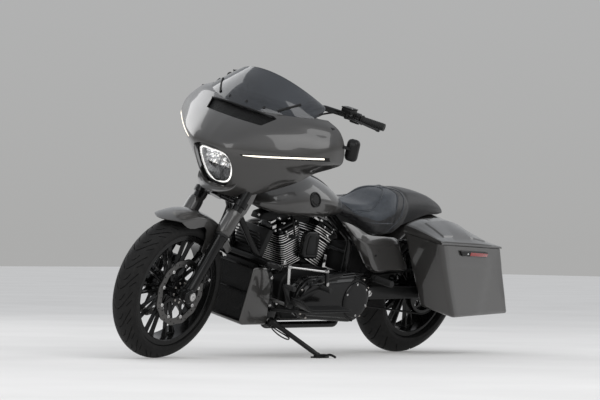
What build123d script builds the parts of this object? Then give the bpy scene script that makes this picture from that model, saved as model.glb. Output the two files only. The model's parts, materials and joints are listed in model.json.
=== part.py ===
"""A touring cruiser motorcycle with a fork-mounted fairing and hard saddlebags, parked on its side stand.

Every piece is drawn upright with the steering straight: x runs forward from the rear axle, y to the
rider's left, z up from the floor, in millimetres. The last section turns the steering, leans the machine
onto its stand and writes one STEP file for each piece, with the origin on the floor under its middle.
"""

from build123d import *
from math import asin, atan2, cos, degrees, radians, sin, sqrt
import os

# ---------------------------------------------------------------- driving dimensions
WHEELBASE = 1625.0
RAKE = 26.0                 # steering head from the vertical
TRAIL = 170.0
FORK_ANGLE = 29.0           # fork legs from the vertical
FORK_Y = 115.0              # leg centre from the middle plane
STEER_AT_REST = 4.0         # turned a little to the left
LEAN = 14.0                 # to the left, onto the stand
STOP_ANGLE = 32.0           # steering stops, each side of straight ahead

FRONT_R = 320.0             # tyre outer radius
FRONT_HALF_W = 62.0
FRONT_SHOULDER_R = 268.0
FRONT_BEAD_R = 241.0
FRONT_RIM_HALF_W = 51.0
REAR_R = 328.0
REAR_HALF_W = 86.0
REAR_SHOULDER_R = 262.0
REAR_BEAD_R = 229.0
REAR_RIM_HALF_W = 64.0
RIM_FLANGE_H = 10.0
RIM_FLANGE_T = 6.0
RIM_WALL = 15.0
HUB_R = 40.0
FRONT_HUB_HALF_W = 71.0
REAR_HUB_HALF_W = 92.0
SPOKE_PAIRS = 10
AXLE_R = 12.5
AXLE_CLEARANCE = 0.05
GAP = 0.3                   # between pieces that seat on each other
RUNNING_GAP = 6.0           # between pieces that move past each other

DISC_R = 150.0
DISC_RING_W = 34.0
DISC_T = 5.0
CALIPER_ANGLE = 143.0       # from straight ahead, upwards
SLIDER_R = 28.0
SLIDER_LENGTH = 300.0       # from the axle up
SLIDER_FOOT = 30.0          # below the axle
COVER_R = 32.0
COVER_DROP = 48.0           # top of the covers below the lower clamp
FORK_TUBE_R = 24.0
FORK_TUBE_RISE = 3.5        # fork tubes above the upper clamp

STEM_R = 13.0
NECK_R = 26.0
NECK_LOW = 850.0            # along the steering axis from the floor
NECK_HIGH = 958.0
CLAMP_T = 26.0

FENDER_GAP = 46.0           # crown of the front fender above the tyre
FENDER_T = 4.0
FENDER_HALF_W = 80.0
FENDER_FRONT_ANGLE = 61.0   # from straight ahead, upwards
FENDER_REAR_ANGLE = 150.0
FENDER_LIP = 54.0
FENDER_NOSE = 166.0         # the rounded front edge, ahead of the axle
FENDER_CORNER = 112.0
SKIRT_LOW = 196.0
SKIRT_SPAN = 13.0

REAR_FENDER_GAP = 24.0
REAR_FENDER_HALF_W = 104.0
REAR_FENDER_DROP = 52.0

FRAME_TUBE_R = 15.0
BACKBONE_R = 22.0
BACKBONE_Z = 695.0
BACKBONE_END_Z = 600.0
RAIL_Y = 110.0
RAIL_Z = 172.0
RAIL_FRONT_X = 1090.0
REAR_POST_X = 565.0
REAR_POST_Y = 76.0
SUBFRAME_Y = 125.0
SUBFRAME_Z = 568.0
SUBFRAME_R = 10.0

CRANK_X = 860.0
CRANK_Z = 300.0
VEE_HALF_ANGLE = 22.5
CYLINDER_R = 50.0
FIN_X = 132.0
FIN_Y = 150.0
FIN_T = 3.0
FIN_PITCH = 9.0
FIN_COUNT = 13
BARREL_FOOT = 158.0         # along a cylinder from the crank
HEAD_FOOT = 283.0
HEAD_H = 46.0
ROCKER_H = 34.0
CASE_HALF_W = 100.0
CASE_TOP = 438.0
CASE_BOTTOM = 192.0

PRIMARY_REAR_X = 613.0
PRIMARY_REAR_R = 112.0
PRIMARY_FRONT_X = 900.0
PRIMARY_FRONT_R = 95.0
PRIMARY_Z = 316.0
PRIMARY_T = 87.0
DERBY_R = 84.0

SWINGARM_Z = 330.0
SWINGARM_T = 24.0
BELT_IN_Y = CASE_HALF_W + 1
BELT_W = 24.0
BELT_T = 6.0
SWINGARM_IN_Y = BELT_IN_Y + BELT_W + RUNNING_GAP
PRIMARY_IN_Y = BELT_IN_Y + BELT_W + 2
PRIMARY_OUT_Y = PRIMARY_IN_Y + PRIMARY_T
REAR_PULLEY_R = 108.0
GEARBOX_PULLEY_X = 680.0
GEARBOX_PULLEY_R = 42.0

BAG_IN_Y = 197.0
BAG_OUT_Y = 436.0
BAG_TAPER = 0.13            # how fast a bag narrows towards the rear
BAG_WALL = 4.0
BAG_FLOOR_Z = 276.0
BAG_FRONT_TOP = (346.0, 632.0)
BAG_REAR_TOP = (-190.0, 598.0)
BAG_FRONT_FOOT = 120.0
BAG_REAR_FOOT = -380.0
LAMP_X = (-64.0, 184.0)     # marker light on the bag's outer face
LAMP_DROP = (20.0, 44.0)    # its top and bottom edge below the joint with the lid
LID_GAP = 1.0
LID_OPEN = 80.0

MUFFLER_R = 42.0
MUFFLER_Y = 236.0
MUFFLER_Z = 227.0
MUFFLER_WALL = 10.0
MUFFLER_REAR_X = -352.0
OUTLET_DEPTH = 150.0

BAR_R = 12.7
GRIP_R = 17.0
GRIP_LENGTH = 112.0
GRIP_OVERHANG = 8.0         # past the bar's end

STAND_PIVOT = (1088.0, 160.0, 204.0)
STAND_FOOT = (958.0, 368.0)
STAND_LEG_R = 11.0
STAND_STOWED = (-262.0, 30.0, -18.0)   # from the pivot to the foot when folded away

# ---------------------------------------------------------------- frames of reference
FRONT_AXLE = Vector(WHEELBASE, 0, FRONT_R)
REAR_AXLE = Vector(0, 0, REAR_R)
STEERING_FOOT = Vector(WHEELBASE + TRAIL, 0, 0)
STEERING_DIR = Vector(-sin(radians(RAKE)), 0, cos(radians(RAKE)))
FORK_DIR = Vector(-sin(radians(FORK_ANGLE)), 0, cos(radians(FORK_ANGLE)))
STEERING_AXIS = Axis(STEERING_FOOT, STEERING_DIR)
LEAN_SIN = sin(radians(LEAN))
LEAN_COS = cos(radians(LEAN))


def crown_radius(tyre_r, half_w, shoulder_r):
    """Radius of the tread arc through the two shoulders and the crown."""
    drop = tyre_r - shoulder_r
    return (half_w**2 + drop**2) / (2 * drop)


def lowest_point(centre, axle_dir, tyre_r, tread_r):
    """Height of the lowest point of a tyre whose axle points along axle_dir."""
    return centre.Z - (tyre_r - tread_r) * sqrt(1 - axle_dir.Z**2) - tread_r


def tilted(vector, pitch):
    """A design direction or point, after pitch about Y and then the lean about X."""
    return vector.rotate(Axis.Y, pitch).rotate(Axis.X, -LEAN)


def settle():
    """Pitch in degrees and lift in mm that put both tyres on the floor, leaned and steered."""
    front_tread = crown_radius(FRONT_R, FRONT_HALF_W, FRONT_SHOULDER_R)
    rear_tread = crown_radius(REAR_R, REAR_HALF_W, REAR_SHOULDER_R)
    turned_hub = (FRONT_AXLE - STEERING_FOOT).rotate(Axis((0, 0, 0), STEERING_DIR), STEER_AT_REST)
    hub = turned_hub + STEERING_FOOT
    axle = Vector(0, 1, 0).rotate(Axis((0, 0, 0), STEERING_DIR), STEER_AT_REST)
    pitch = 0.0
    lift = 0.0
    for _ in range(20):
        rear = lowest_point(tilted(REAR_AXLE, pitch), tilted(Vector(0, 1, 0), pitch), REAR_R, rear_tread)
        front = lowest_point(tilted(hub, pitch), tilted(axle, pitch), FRONT_R, front_tread)
        lift = -rear
        pitch += degrees((front - rear) / WHEELBASE)
    return pitch, lift


PITCH, LIFT = settle()


def floor_z(x, y):
    """Height of the floor under a design point, in the upright design frame."""
    level = (LEAN_SIN * y - LIFT) / LEAN_COS
    return (level + sin(radians(PITCH)) * x) / cos(radians(PITCH))


UP_FROM_FLOOR = Vector(0, 0, 1).rotate(Axis.X, LEAN).rotate(Axis.Y, -PITCH)


# ---------------------------------------------------------------- drawing helpers
def rod(start, end, radius):
    """A round bar between two points."""
    a, b = Vector(start), Vector(end)
    base = Plane(origin=a, z_dir=b - a)
    return base * Cylinder(radius, (b - a).length, align=(Align.CENTER, Align.CENTER, Align.MIN))


def tube(points, bend, radius):
    """A round bar through points, with its corners bent to one radius."""
    path = FilletPolyline(*points, radius=bend)
    start = Plane(origin=path @ 0, z_dir=path % 0)
    return sweep(start * Circle(radius), path=path)


def drum(centre, y_from, y_to, radius):
    """A disc whose axis runs along Y."""
    return rod((centre[0], y_from, centre[1]), (centre[0], y_to, centre[1]), radius)


def lathe(outline, centre, arc=360.0):
    """Turns a face drawn in (y, radius) about the Y axis through centre."""
    return Pos(*centre) * revolve(Plane.YZ * outline, axis=Axis.Y, revolution_arc=arc)


def slab(outline, y_from, y_to):
    """A plate of a closed (x, z) outline, between two y values."""
    low, high = min(y_from, y_to), max(y_from, y_to)
    face = make_face(Polyline(*[(x, low, z) for x, z in outline], close=True))
    return extrude(face, amount=high - low, dir=(0, 1, 0))


def left_and_right(shape):
    """The shape and its mirror image in the middle plane."""
    return shape, mirror(shape, about=Plane.XZ)


def joined(*shapes):
    """One shape fused from many."""
    total = shapes[0]
    for shape in shapes[1:]:
        total = total + shape
    return total


def along_fork(distance, side):
    """A point on a fork leg's centreline, by distance up from the axle."""
    return FRONT_AXLE + FORK_DIR * distance + Vector(0, side * FORK_Y, 0)


def along_stem(distance):
    """A point on the steering axis, by distance up from the floor."""
    return STEERING_FOOT + STEERING_DIR * distance


def spanning(x, half_base, half_width, z_base, z_side, z_top):
    """A cross-section at x: flat base, straight flanks and one arc over the top."""
    flank = [(x, -half_base, z_base), (x, half_base, z_base), (x, half_width, z_side)]
    base = Polyline((x, -half_width, z_side), *flank)
    crest = ThreePointArc((x, half_width, z_side), (x, 0, z_top), (x, -half_width, z_side))
    return make_face([*base.edges(), crest])


def slice_at(z, nose_x, brow_x, brow_y, side_x, side_y, rear_x, rear_y, inset=0.0, overrun=0.0):
    """A level slice of the fairing: an arc round the nose, straight cheeks, flanks and a flat back."""
    nose = (nose_x - inset * 1.3, 0, z)
    brow = (brow_x - inset * 1.2, brow_y - inset * 0.3)
    side = (side_x - inset * 0.6, side_y - inset)
    rear = (rear_x - overrun, rear_y - inset)
    left = [(*brow, z), (*side, z), (*rear, z)]
    right = [(x, -y, z) for x, y, z in reversed(left)]
    flanks = Polyline(*left, *right)
    front = ThreePointArc(right[-1], nose, left[0])
    return make_face([*flanks.edges(), front])


# ---------------------------------------------------------------- wheels
def tyre(half_w, outer_r, shoulder_r, bead_r, rim_half_w):
    """A tyre's ring: tread arc, curved sidewalls and flat beads."""
    wall_r = (shoulder_r + bead_r) / 2 + 3
    bead = bead_r + GAP
    seat_r = bead_r + RIM_FLANGE_H + 2
    seat_w = rim_half_w - RIM_FLANGE_T - GAP
    with BuildLine() as line:
        Polyline((-seat_w, seat_r), (-seat_w, bead), (seat_w, bead), (seat_w, seat_r))
        ThreePointArc((seat_w, seat_r), (half_w - 3, wall_r), (half_w, shoulder_r))
        ThreePointArc((half_w, shoulder_r), (0, outer_r), (-half_w, shoulder_r))
        ThreePointArc((-half_w, shoulder_r), (-half_w + 3, wall_r), (-seat_w, seat_r))
    return make_face(line.edges())


def wheel(bead_r, rim_half_w, hub_half_w, spoke_y):
    """Rim, hub and paired spokes in one casting, with the axle's bore."""
    outer = bead_r + RIM_FLANGE_H
    inner = bead_r - RIM_WALL
    well = rim_half_w - RIM_FLANGE_T
    points = [
        (-rim_half_w, inner), (rim_half_w, inner), (rim_half_w, outer), (well, outer),
        (well, bead_r), (-well, bead_r), (-well, outer), (-rim_half_w, outer),
    ]
    rim = lathe(make_face(Polyline(*points, close=True)), (0, 0, 0))
    hub = drum((0, 0), -hub_half_w, hub_half_w, HUB_R)
    casting = rim + hub
    for pair in range(SPOKE_PAIRS):
        middle = 360 * pair / SPOKE_PAIRS
        for turn in (-SPOKE_SPLAY, SPOKE_SPLAY):
            foot = radians(middle + turn * 2.2)
            tip = radians(middle + turn)
            start = Vector((HUB_R - 6) * cos(foot), 0, (HUB_R - 6) * sin(foot))
            end = Vector((inner + 4) * cos(tip), 0, (inner + 4) * sin(tip))
            along = end - start
            place = Plane(origin=start, x_dir=(0, 1, 0), z_dir=along)
            bar = Box(spoke_y, SPOKE_W, along.length, align=(Align.CENTER, Align.CENTER, Align.MIN))
            casting = casting + place * bar
    return casting - drum((0, 0), -hub_half_w - 1, hub_half_w + 1, AXLE_R + AXLE_CLEARANCE)


def brake_disc(y_from, thickness, bore_r):
    """A disc's ring, its carrier ring and the arms between them."""
    y_to = y_from + thickness
    inner = DISC_R - DISC_RING_W
    ring = drum((0, 0), y_from, y_to, DISC_R) - drum((0, 0), y_from - 1, y_to + 1, inner)
    carrier = drum((0, 0), y_from, y_to, CARRIER_R) - drum((0, 0), y_from - 1, y_to + 1, bore_r)
    disc = ring
    for arm in range(CARRIER_ARMS):
        turn = 360 * arm / CARRIER_ARMS
        bar = Box(inner - CARRIER_R + 8, thickness, 12, align=(Align.MIN, Align.MIN, Align.CENTER))
        disc = disc + Rot(0, turn, 0) * Pos(CARRIER_R - 4, y_from, 0) * bar
    return disc + carrier


SPOKE_SPLAY = 6.0           # degrees each side of a pair's middle
SPOKE_W = 9.0
SPOKE_FRONT_Y = 24.0
SPOKE_REAR_Y = 30.0
CARRIER_R = 62.0
CARRIER_ARMS = 9
DISC_BORE_R = AXLE_R + 14.0

at_front = Pos(*FRONT_AXLE)
at_rear = Pos(*REAR_AXLE)

front_tyre = lathe(
    tyre(FRONT_HALF_W, FRONT_R, FRONT_SHOULDER_R, FRONT_BEAD_R, FRONT_RIM_HALF_W), FRONT_AXLE)
front_wheel = at_front * wheel(FRONT_BEAD_R, FRONT_RIM_HALF_W, FRONT_HUB_HALF_W, SPOKE_FRONT_Y)
front_disc_y = FRONT_HUB_HALF_W + GAP
front_discs = [at_front * disc for disc in left_and_right(brake_disc(front_disc_y, DISC_T, DISC_BORE_R))]

rear_tyre = lathe(
    tyre(REAR_HALF_W, REAR_R, REAR_SHOULDER_R, REAR_BEAD_R, REAR_RIM_HALF_W), REAR_AXLE)
rear_wheel = at_rear * wheel(REAR_BEAD_R, REAR_RIM_HALF_W, REAR_HUB_HALF_W, SPOKE_REAR_Y)
rear_disc_y = -REAR_HUB_HALF_W - GAP - DISC_T
rear_disc = at_rear * brake_disc(rear_disc_y, DISC_T, DISC_BORE_R)
pulley_y = REAR_HUB_HALF_W + GAP
pulley_end = BELT_IN_Y + BELT_W - 0.7
rear_pulley = at_rear * (
    drum((0, 0), pulley_y, pulley_end, REAR_PULLEY_R)
    - drum((0, 0), pulley_y + 8, pulley_end + 1, REAR_PULLEY_R - 14)
    + drum((0, 0), pulley_y, pulley_y + 20, HUB_R)
    - drum((0, 0), pulley_y - 1, pulley_y + 21, AXLE_R + AXLE_CLEARANCE)
)

# ---------------------------------------------------------------- steering head and fork
stem_low, stem_high = NECK_LOW - RUNNING_GAP, NECK_HIGH + RUNNING_GAP
LAMP_Z, LAMP_HALF_W, LAMP_HALF_H = 879.0, 90.0, 84.0
LAMP_BACK_X = 1452.0


def clamp(low):
    """A triple clamp: a plate square to the steering axis that reaches both fork legs."""
    centre = along_stem(low)
    level = Plane(origin=centre, x_dir=(0, 1, 0), z_dir=STEERING_DIR)
    legs = [along_fork(fork_at(centre.Z), side) for side in (1, -1)]
    plate = extrude(level * Circle(STEM_R + 16), amount=CLAMP_T)
    for leg in legs:
        foot = leg - STEERING_DIR * ((leg - centre).dot(STEERING_DIR))
        boss = extrude(Plane(origin=foot, z_dir=STEERING_DIR) * Circle(FORK_TUBE_R + 9), amount=CLAMP_T)
        web = rod(centre + STEERING_DIR * CLAMP_T / 2, foot + STEERING_DIR * CLAMP_T / 2, CLAMP_T / 2 - 1)
        plate = plate + boss + web
    return plate


def fork_at(z):
    """Distance up a fork leg from the axle at a height above the floor."""
    return (z - FRONT_R) / cos(radians(FORK_ANGLE))


fork_tube_top = fork_at(along_stem(stem_high + CLAMP_T).Z) + FORK_TUBE_RISE
fork_frame = joined(
    clamp(stem_low - CLAMP_T),
    clamp(stem_high),
    rod(along_stem(stem_low - CLAMP_T), along_stem(stem_high + CLAMP_T), STEM_R),
    *[rod((1364, side * 46, LAMP_Z), (LAMP_BACK_X - GAP, side * 46, LAMP_Z), 10) for side in (1, -1)],
    *[rod(along_fork(SLIDER_LENGTH + GAP, side), along_fork(fork_tube_top, side), FORK_TUBE_R)
      for side in (1, -1)],
)


def slider(side):
    """A lower leg: the tube round the fork tube's foot, and the lug that holds the axle."""
    leg = rod(along_fork(-SLIDER_FOOT, side), along_fork(SLIDER_LENGTH, side), SLIDER_R)
    bore_y = FORK_Y + SLIDER_R + 2
    bore = at_front * drum((0, 0), -bore_y, bore_y, AXLE_R + AXLE_CLEARANCE)
    return leg - bore


fork_sliders = [slider(side) for side in (1, -1)]
cover_low = SLIDER_LENGTH + 10
cover_high = fork_at(along_stem(stem_low - CLAMP_T).Z) - COVER_DROP
fork_covers = [
    rod(along_fork(cover_low, side), along_fork(cover_high, side), COVER_R)
    - rod(along_fork(cover_low - 1, side), along_fork(cover_high + 1, side), FORK_TUBE_R + GAP)
    for side in (1, -1)
]
front_axle = at_front * (
    drum((0, 0), -FORK_Y - SLIDER_R - 4, FORK_Y + SLIDER_R + 4, AXLE_R)
    + drum((0, 0), FORK_Y + SLIDER_R + 1, FORK_Y + SLIDER_R + 8, AXLE_R + 6)
    + drum((0, 0), -FORK_Y - SLIDER_R - 8, -FORK_Y - SLIDER_R - 1, AXLE_R + 6)
    + drum((0, 0), FRONT_HUB_HALF_W + DISC_T + 3, FORK_Y - SLIDER_R - GAP, AXLE_R + 5)
    + drum((0, 0), -FORK_Y + SLIDER_R + GAP, -FRONT_HUB_HALF_W - DISC_T - 3, AXLE_R + 5)
)


# ---------------------------------------------------------------- front fender and calipers
def arched(inner_r, thickness, half_w, lip_r, front_angle, rear_angle, centre):
    """A fender: a crowned strip round a tyre with its lips turned down to lip_r."""
    outer_r = inner_r + thickness
    side_r = inner_r - 16
    with BuildLine() as line:
        ThreePointArc((-half_w, side_r), (0, outer_r), (half_w, side_r))
        Polyline((half_w, side_r), (half_w, lip_r), (half_w - thickness, lip_r),
                 (half_w - thickness, side_r - thickness / 2))
        ThreePointArc((half_w - thickness, side_r - thickness / 2), (0, inner_r),
                      (-half_w + thickness, side_r - thickness / 2))
        Polyline((-half_w + thickness, side_r - thickness / 2), (-half_w + thickness, lip_r),
                 (-half_w, lip_r), (-half_w, side_r))
    ring = revolve(Plane.YZ * make_face(line.edges()), axis=Axis.Y, revolution_arc=rear_angle - front_angle)
    return Pos(*centre) * Rot(0, -rear_angle + 90, 0) * ring


fender_inner = FRONT_R + FENDER_GAP
front_fender = arched(
    fender_inner, FENDER_T, FENDER_HALF_W, fender_inner - FENDER_LIP,
    FENDER_FRONT_ANGLE, FENDER_REAR_ANGLE, FRONT_AXLE)
fork_from_front = 90 + FORK_ANGLE
skirt_outline = [
    (FRONT_AXLE.X + r * cos(radians(a)), FRONT_AXLE.Z + r * sin(radians(a)))
    for r, a in [
        (fender_inner - FENDER_LIP + 20, fork_from_front - SKIRT_SPAN - 8),
        (SKIRT_LOW, fork_from_front - SKIRT_SPAN / 2),
        (SKIRT_LOW, fork_from_front + SKIRT_SPAN / 2),
        (fender_inner - FENDER_LIP + 20, fork_from_front + SKIRT_SPAN + 12),
    ]
]
for side in (1, -1):
    skirt = slab(skirt_outline, side * (FENDER_HALF_W - FENDER_T), side * FENDER_HALF_W)
    front_fender = front_fender + skirt
    for distance in (215, 262):
        point = along_fork(distance, 0)
        y_far = side * (FORK_Y - SLIDER_R - GAP)
        front_fender = front_fender + drum((point.X, point.Z), side * (FENDER_HALF_W - 2), y_far, 9)
corner_x = FRONT_AXLE.X + FENDER_CORNER
with BuildLine() as nose_line:
    corner_y = FENDER_HALF_W + 1
    ThreePointArc((corner_x, -corner_y), (FRONT_AXLE.X + FENDER_NOSE, 0), (corner_x, corner_y))
    Polyline((corner_x, corner_y), (corner_x, FORK_Y), (FRONT_AXLE.X - 500, FORK_Y),
             (FRONT_AXLE.X - 500, -FORK_Y), (corner_x, -FORK_Y), (corner_x, -corner_y))
front_fender = front_fender & extrude(make_face(nose_line.edges()), amount=1000)


def caliper(side):
    """A caliper astride the disc, behind the slider, with its two lugs to the leg."""
    y_in = side * (FRONT_HUB_HALF_W - 20)
    y_out = side * (FORK_Y - SLIDER_R + 10)
    spread = radians(CALIPER_ANGLE)
    span = radians(17)
    outline = [
        (FRONT_AXLE.X + r * cos(a), FRONT_AXLE.Z + r * sin(a))
        for r, a in [
            (DISC_R - 34, spread - span), (DISC_R + 18, spread - span), (DISC_R + 26, spread),
            (DISC_R + 18, spread + span), (DISC_R - 34, spread + span),
        ]
    ]
    body = slab(outline, y_in, y_out)
    y_disc = side * (FRONT_HUB_HALF_W + GAP + DISC_T / 2)
    slot = at_front * drum((0, 0), y_disc - 6, y_disc + 6, DISC_R + 6)
    return body - slot - fork_sliders[0 if side > 0 else 1]


front_calipers = [caliper(side) for side in (1, -1)]

# ---------------------------------------------------------------- fairing
# each row: height, nose x, brow x and y, side x and y, rear x and y
FAIRING_ROWS = [
    (756, 1452, 1438, 50, 1402, 82, 1388, 90),
    (800, 1466, 1450, 84, 1360, 150, 1322, 160),
    (880, 1512, 1490, 104, 1310, 256, 1228, 272),
    (960, 1556, 1530, 115, 1278, 364, 1166, 374),
    (1000, 1547, 1519, 121, 1270, 420, 1160, 430),
    (1022, 1538, 1508, 125, 1268, 431, 1164, 439),
    (1090, 1464, 1438, 145, 1258, 424, 1176, 436),
    (1150, 1384, 1362, 170, 1245, 385, 1190, 404),
    (1174, 1330, 1316, 170, 1228, 318, 1204, 334),
]
FAIRING_WALL = 5.0


def fairing_loft(rows, inset, overrun):
    return loft([slice_at(*row, inset=inset, overrun=overrun) for row in rows], ruled=True)


low_row, top_row = FAIRING_ROWS[0], FAIRING_ROWS[-1]
inner_rows = [(low_row[0] - 2, *low_row[1:]), *FAIRING_ROWS[1:-1], (top_row[0] - FAIRING_WALL, *top_row[1:])]
fairing_solid = fairing_loft(FAIRING_ROWS, 0, 0)
fairing_skin = fairing_solid - fairing_loft(inner_rows, FAIRING_WALL, 40)

VENT_LOW, VENT_HIGH, VENT_HALF_W = 1099.0, 1142.0, 185.0
STRIP_IN_Y, STRIP_OUT_Y, STRIP_H = 166.0, 418.0, 15.0
STRIP_IN_Z, STRIP_OUT_Z = 957.0, 1015.0


def window(x_from, x_to, outline):
    """A prism along x whose outline is given in (y, z)."""
    face = make_face(Polyline(*[(x_from, y, z) for y, z in outline], close=True))
    return extrude(face, amount=x_to - x_from, dir=(1, 0, 0))


def lamp_outline(shrink):
    half_w, half_h = LAMP_HALF_W - shrink, LAMP_HALF_H - shrink
    corners = [
        (-1, 0.35), (-0.72, 1), (0.72, 1), (1, 0.35), (0.9, -0.45), (0.5, -1), (-0.5, -1), (-0.9, -0.45)]
    return [(half_w * a, LAMP_Z + half_h * b) for a, b in corners]


def vent_outline(shrink):
    low, high = VENT_LOW + shrink, VENT_HIGH - shrink
    wide, narrow = VENT_HALF_W - shrink * 2, VENT_HALF_W - 28 - shrink * 2
    return [(-narrow, low), (narrow, low), (wide, high), (-wide, high)]


def strip_outline(side, shrink):
    y0, y1 = side * (STRIP_IN_Y + shrink), side * (STRIP_OUT_Y - shrink)
    half = STRIP_H / 2 - shrink
    z0, z1 = STRIP_IN_Z, STRIP_OUT_Z
    return [(y0, z0 - half), (y1, z1 - half), (y1, z1 + half), (y0, z0 + half)]


front_x, back_x = 1200.0, 1600.0
headlamp = fairing_skin & window(1420, back_x, lamp_outline(GAP))
headlamp = headlamp + rod((1500, 0, LAMP_Z), (LAMP_BACK_X, 0, LAMP_Z), 60)
headlamp = headlamp & (fairing_solid & window(1400, back_x, lamp_outline(GAP)))
fork_room = joined(
    rod(along_stem(stem_low - CLAMP_T - 4), along_stem(stem_low + 2), STEM_R + 20),
    *[rod(along_fork(420, side), along_fork(620, side), FORK_TUBE_R + 10) for side in (1, -1)],
)
fairing_vent = fairing_skin & window(1300, back_x, vent_outline(GAP))
light_strips = [fairing_skin & window(front_x, back_x, strip_outline(side, GAP)) for side in (1, -1)]
fairing_outer = (
    fairing_skin
    - fork_room
    - window(1400, back_x, lamp_outline(0))
    - window(1300, back_x, vent_outline(0))
    - window(front_x, back_x, strip_outline(1, 0))
    - window(front_x, back_x, strip_outline(-1, 0))
)

# the dash closes the back of the fairing above the tank, with a slot for the handlebar
dash_rows = [*inner_rows[:-1], (inner_rows[-1][0] - GAP, *inner_rows[-1][1:])]
dash_block = fairing_loft(dash_rows, FAIRING_WALL + GAP, 40)
DASH_T = 14.0
dash_cut = [(-300, 900), (300, 900), (420, 985), (420, 1200), (-420, 1200), (-420, 985)]
fairing_inner = dash_block & window(1206, 1206 + DASH_T, dash_cut)
fairing_inner = fairing_inner - Pos(1210, 0, 900) * Box(60, 250, 160)

# ---------------------------------------------------------------- windshield
# each row: height, nose x, brow x and y, side x and y, rear x and y
SCREEN_ROWS = [
    (1150.6, 1384, 1362, 168, 1300, 282, 1298, 284),
    (1230, 1352, 1334, 140, 1262, 262, 1260, 264),
    (1316, 1290, 1278, 100, 1222, 205, 1220, 207),
]
SCREEN_T = 4.0
screen_loft = loft([slice_at(*row) for row in SCREEN_ROWS], ruled=True)
screen_bore = loft([
    slice_at(*(row[0] + shift, *row[1:]), inset=SCREEN_T, overrun=60)
    for row, shift in zip(SCREEN_ROWS, (-1, 0, 1))], ruled=True)
with BuildLine() as screen_line:
    Polyline((-300, 1190), (-300, 1140), (300, 1140), (300, 1190))
    ThreePointArc((300, 1190), (0, 1315), (-300, 1190))
screen_face = Pos(1100, 0, 0) * (Plane.YZ * make_face(screen_line.edges()))
screen_edge = extrude(screen_face, amount=400, dir=(1, 0, 0))
windshield = ((screen_loft - screen_bore) & screen_edge) - fairing_solid

# ---------------------------------------------------------------- handlebar and mirrors
BAR_CLAMP = along_stem(1092)
bar_points = [
    (BAR_CLAMP.X - 22, 0, BAR_CLAMP.Z), (BAR_CLAMP.X - 22, 100, BAR_CLAMP.Z),
    (1180, 190, 1190), (1110, 236, 1206), (1004, 288, 1189), (952, 452, 1180),
]
half_bar = tube(bar_points, 38, BAR_R)
handlebar = joined(half_bar, mirror(half_bar, about=Plane.XZ))
for side in (1, -1):
    foot = along_stem(stem_high + CLAMP_T - 6)
    handlebar = handlebar + rod(
        (foot.X - 6, side * 45, foot.Z), (BAR_CLAMP.X - 22, side * 45, BAR_CLAMP.Z), 14)
handlebar = handlebar - fork_frame
bar_slot = rod(bar_points[1], bar_points[2], BAR_R + 9)
fairing_inner = fairing_inner - bar_slot - mirror(bar_slot, about=Plane.XZ)
fairing_outer = fairing_outer - bar_slot - mirror(bar_slot, about=Plane.XZ)


def grip(side):
    """A rubber grip round the bar's end."""
    a, b = Vector(bar_points[4]), Vector(bar_points[5])
    along = (b - a).normalized()
    start = b - along * (GRIP_LENGTH - GRIP_OVERHANG)
    body = rod(start, b + along * GRIP_OVERHANG, GRIP_R) - rod(start - along, b + along * 0.3, BAR_R + GAP)
    return body if side > 0 else mirror(body, about=Plane.XZ)


grips = [grip(side) for side in (1, -1)]


def hand_control():
    """Switch housing, lever perch and lever on the left; the right is its mirror image."""
    along = (Vector(bar_points[5]) - Vector(bar_points[4])).normalized()
    start = Vector(bar_points[4]) + along * 20
    housing = rod(start, start + along * 42, 25)
    pivot = start + along * 10 + Vector(52, 0, 6)
    perch = rod(start + along * 12, pivot, 11)
    reservoir = Pos(*(pivot + Vector(-2, 6, 26))) * Box(46, 62, 26)
    lever_tip = pivot + along * 150 + Vector(-22, 0, -22)
    lever = rod(pivot, lever_tip, 6) + Pos(*lever_tip) * Sphere(8)
    bore = rod(start - along * 4, start + along * 150, BAR_R + GAP)
    knuckle = rod(pivot - Vector(0, 0, 12), pivot + Vector(0, 0, 12), 12)
    return joined(housing, perch, reservoir, knuckle, lever) - bore


left_control = hand_control()
hand_controls = list(left_and_right(left_control))


def mirror_piece():
    """A fairing mirror: a flat housing on a short stalk from the wing's outer edge."""
    head = Pos(1132, 448, 1070) * Rot(0, 0, 12) * Box(30, 58, 98)
    head = fillet(head.edges().filter_by(Axis.X, tolerance=20), 20)
    stalk = rod((1178, 428.5, 1078), (1142, 446, 1074), 9)
    return (head + stalk) - fairing_solid


mirrors = list(left_and_right(mirror_piece()))

# ---------------------------------------------------------------- frame
neck = rod(along_stem(NECK_LOW), along_stem(NECK_HIGH), NECK_R)
neck = neck - rod(along_stem(NECK_LOW - 1), along_stem(NECK_HIGH + 1), STEM_R + 1)
neck_mid = along_stem((NECK_LOW + NECK_HIGH) / 2)
neck_rear = Vector(neck_mid.X - NECK_R + 4, 0, neck_mid.Z - 6)
neck_foot = along_stem(NECK_LOW + 18)
backbone_path = [
    neck_rear, (1130, 0, BACKBONE_Z + 10), (700, 0, BACKBONE_Z), (REAR_POST_X, 0, BACKBONE_END_Z)]
backbone = tube(backbone_path, 60, BACKBONE_R)


def frame_side():
    """Downtube, floor rail and rear post in one run, then the seat rail, on the left."""
    cradle = tube([
        (neck_foot.X - 24, 12, neck_foot.Z + 36), (1290, 26, 660),
        (1095, RAIL_Y, 360), (RAIL_FRONT_X, RAIL_Y, RAIL_Z),
        (REAR_POST_X + 30, RAIL_Y, RAIL_Z), (REAR_POST_X, REAR_POST_Y, RAIL_Z + 90),
        (REAR_POST_X, REAR_POST_Y, 560), (REAR_POST_X, 10, BACKBONE_END_Z - 4)], 30, FRAME_TUBE_R)
    seat_rail = tube([
        (REAR_POST_X, REAR_POST_Y - 10, 545), (REAR_POST_X - 60, SUBFRAME_Y, SUBFRAME_Z),
        (-40, SUBFRAME_Y, SUBFRAME_Z + 8)], 60, SUBFRAME_R)
    return cradle + seat_rail


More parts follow.
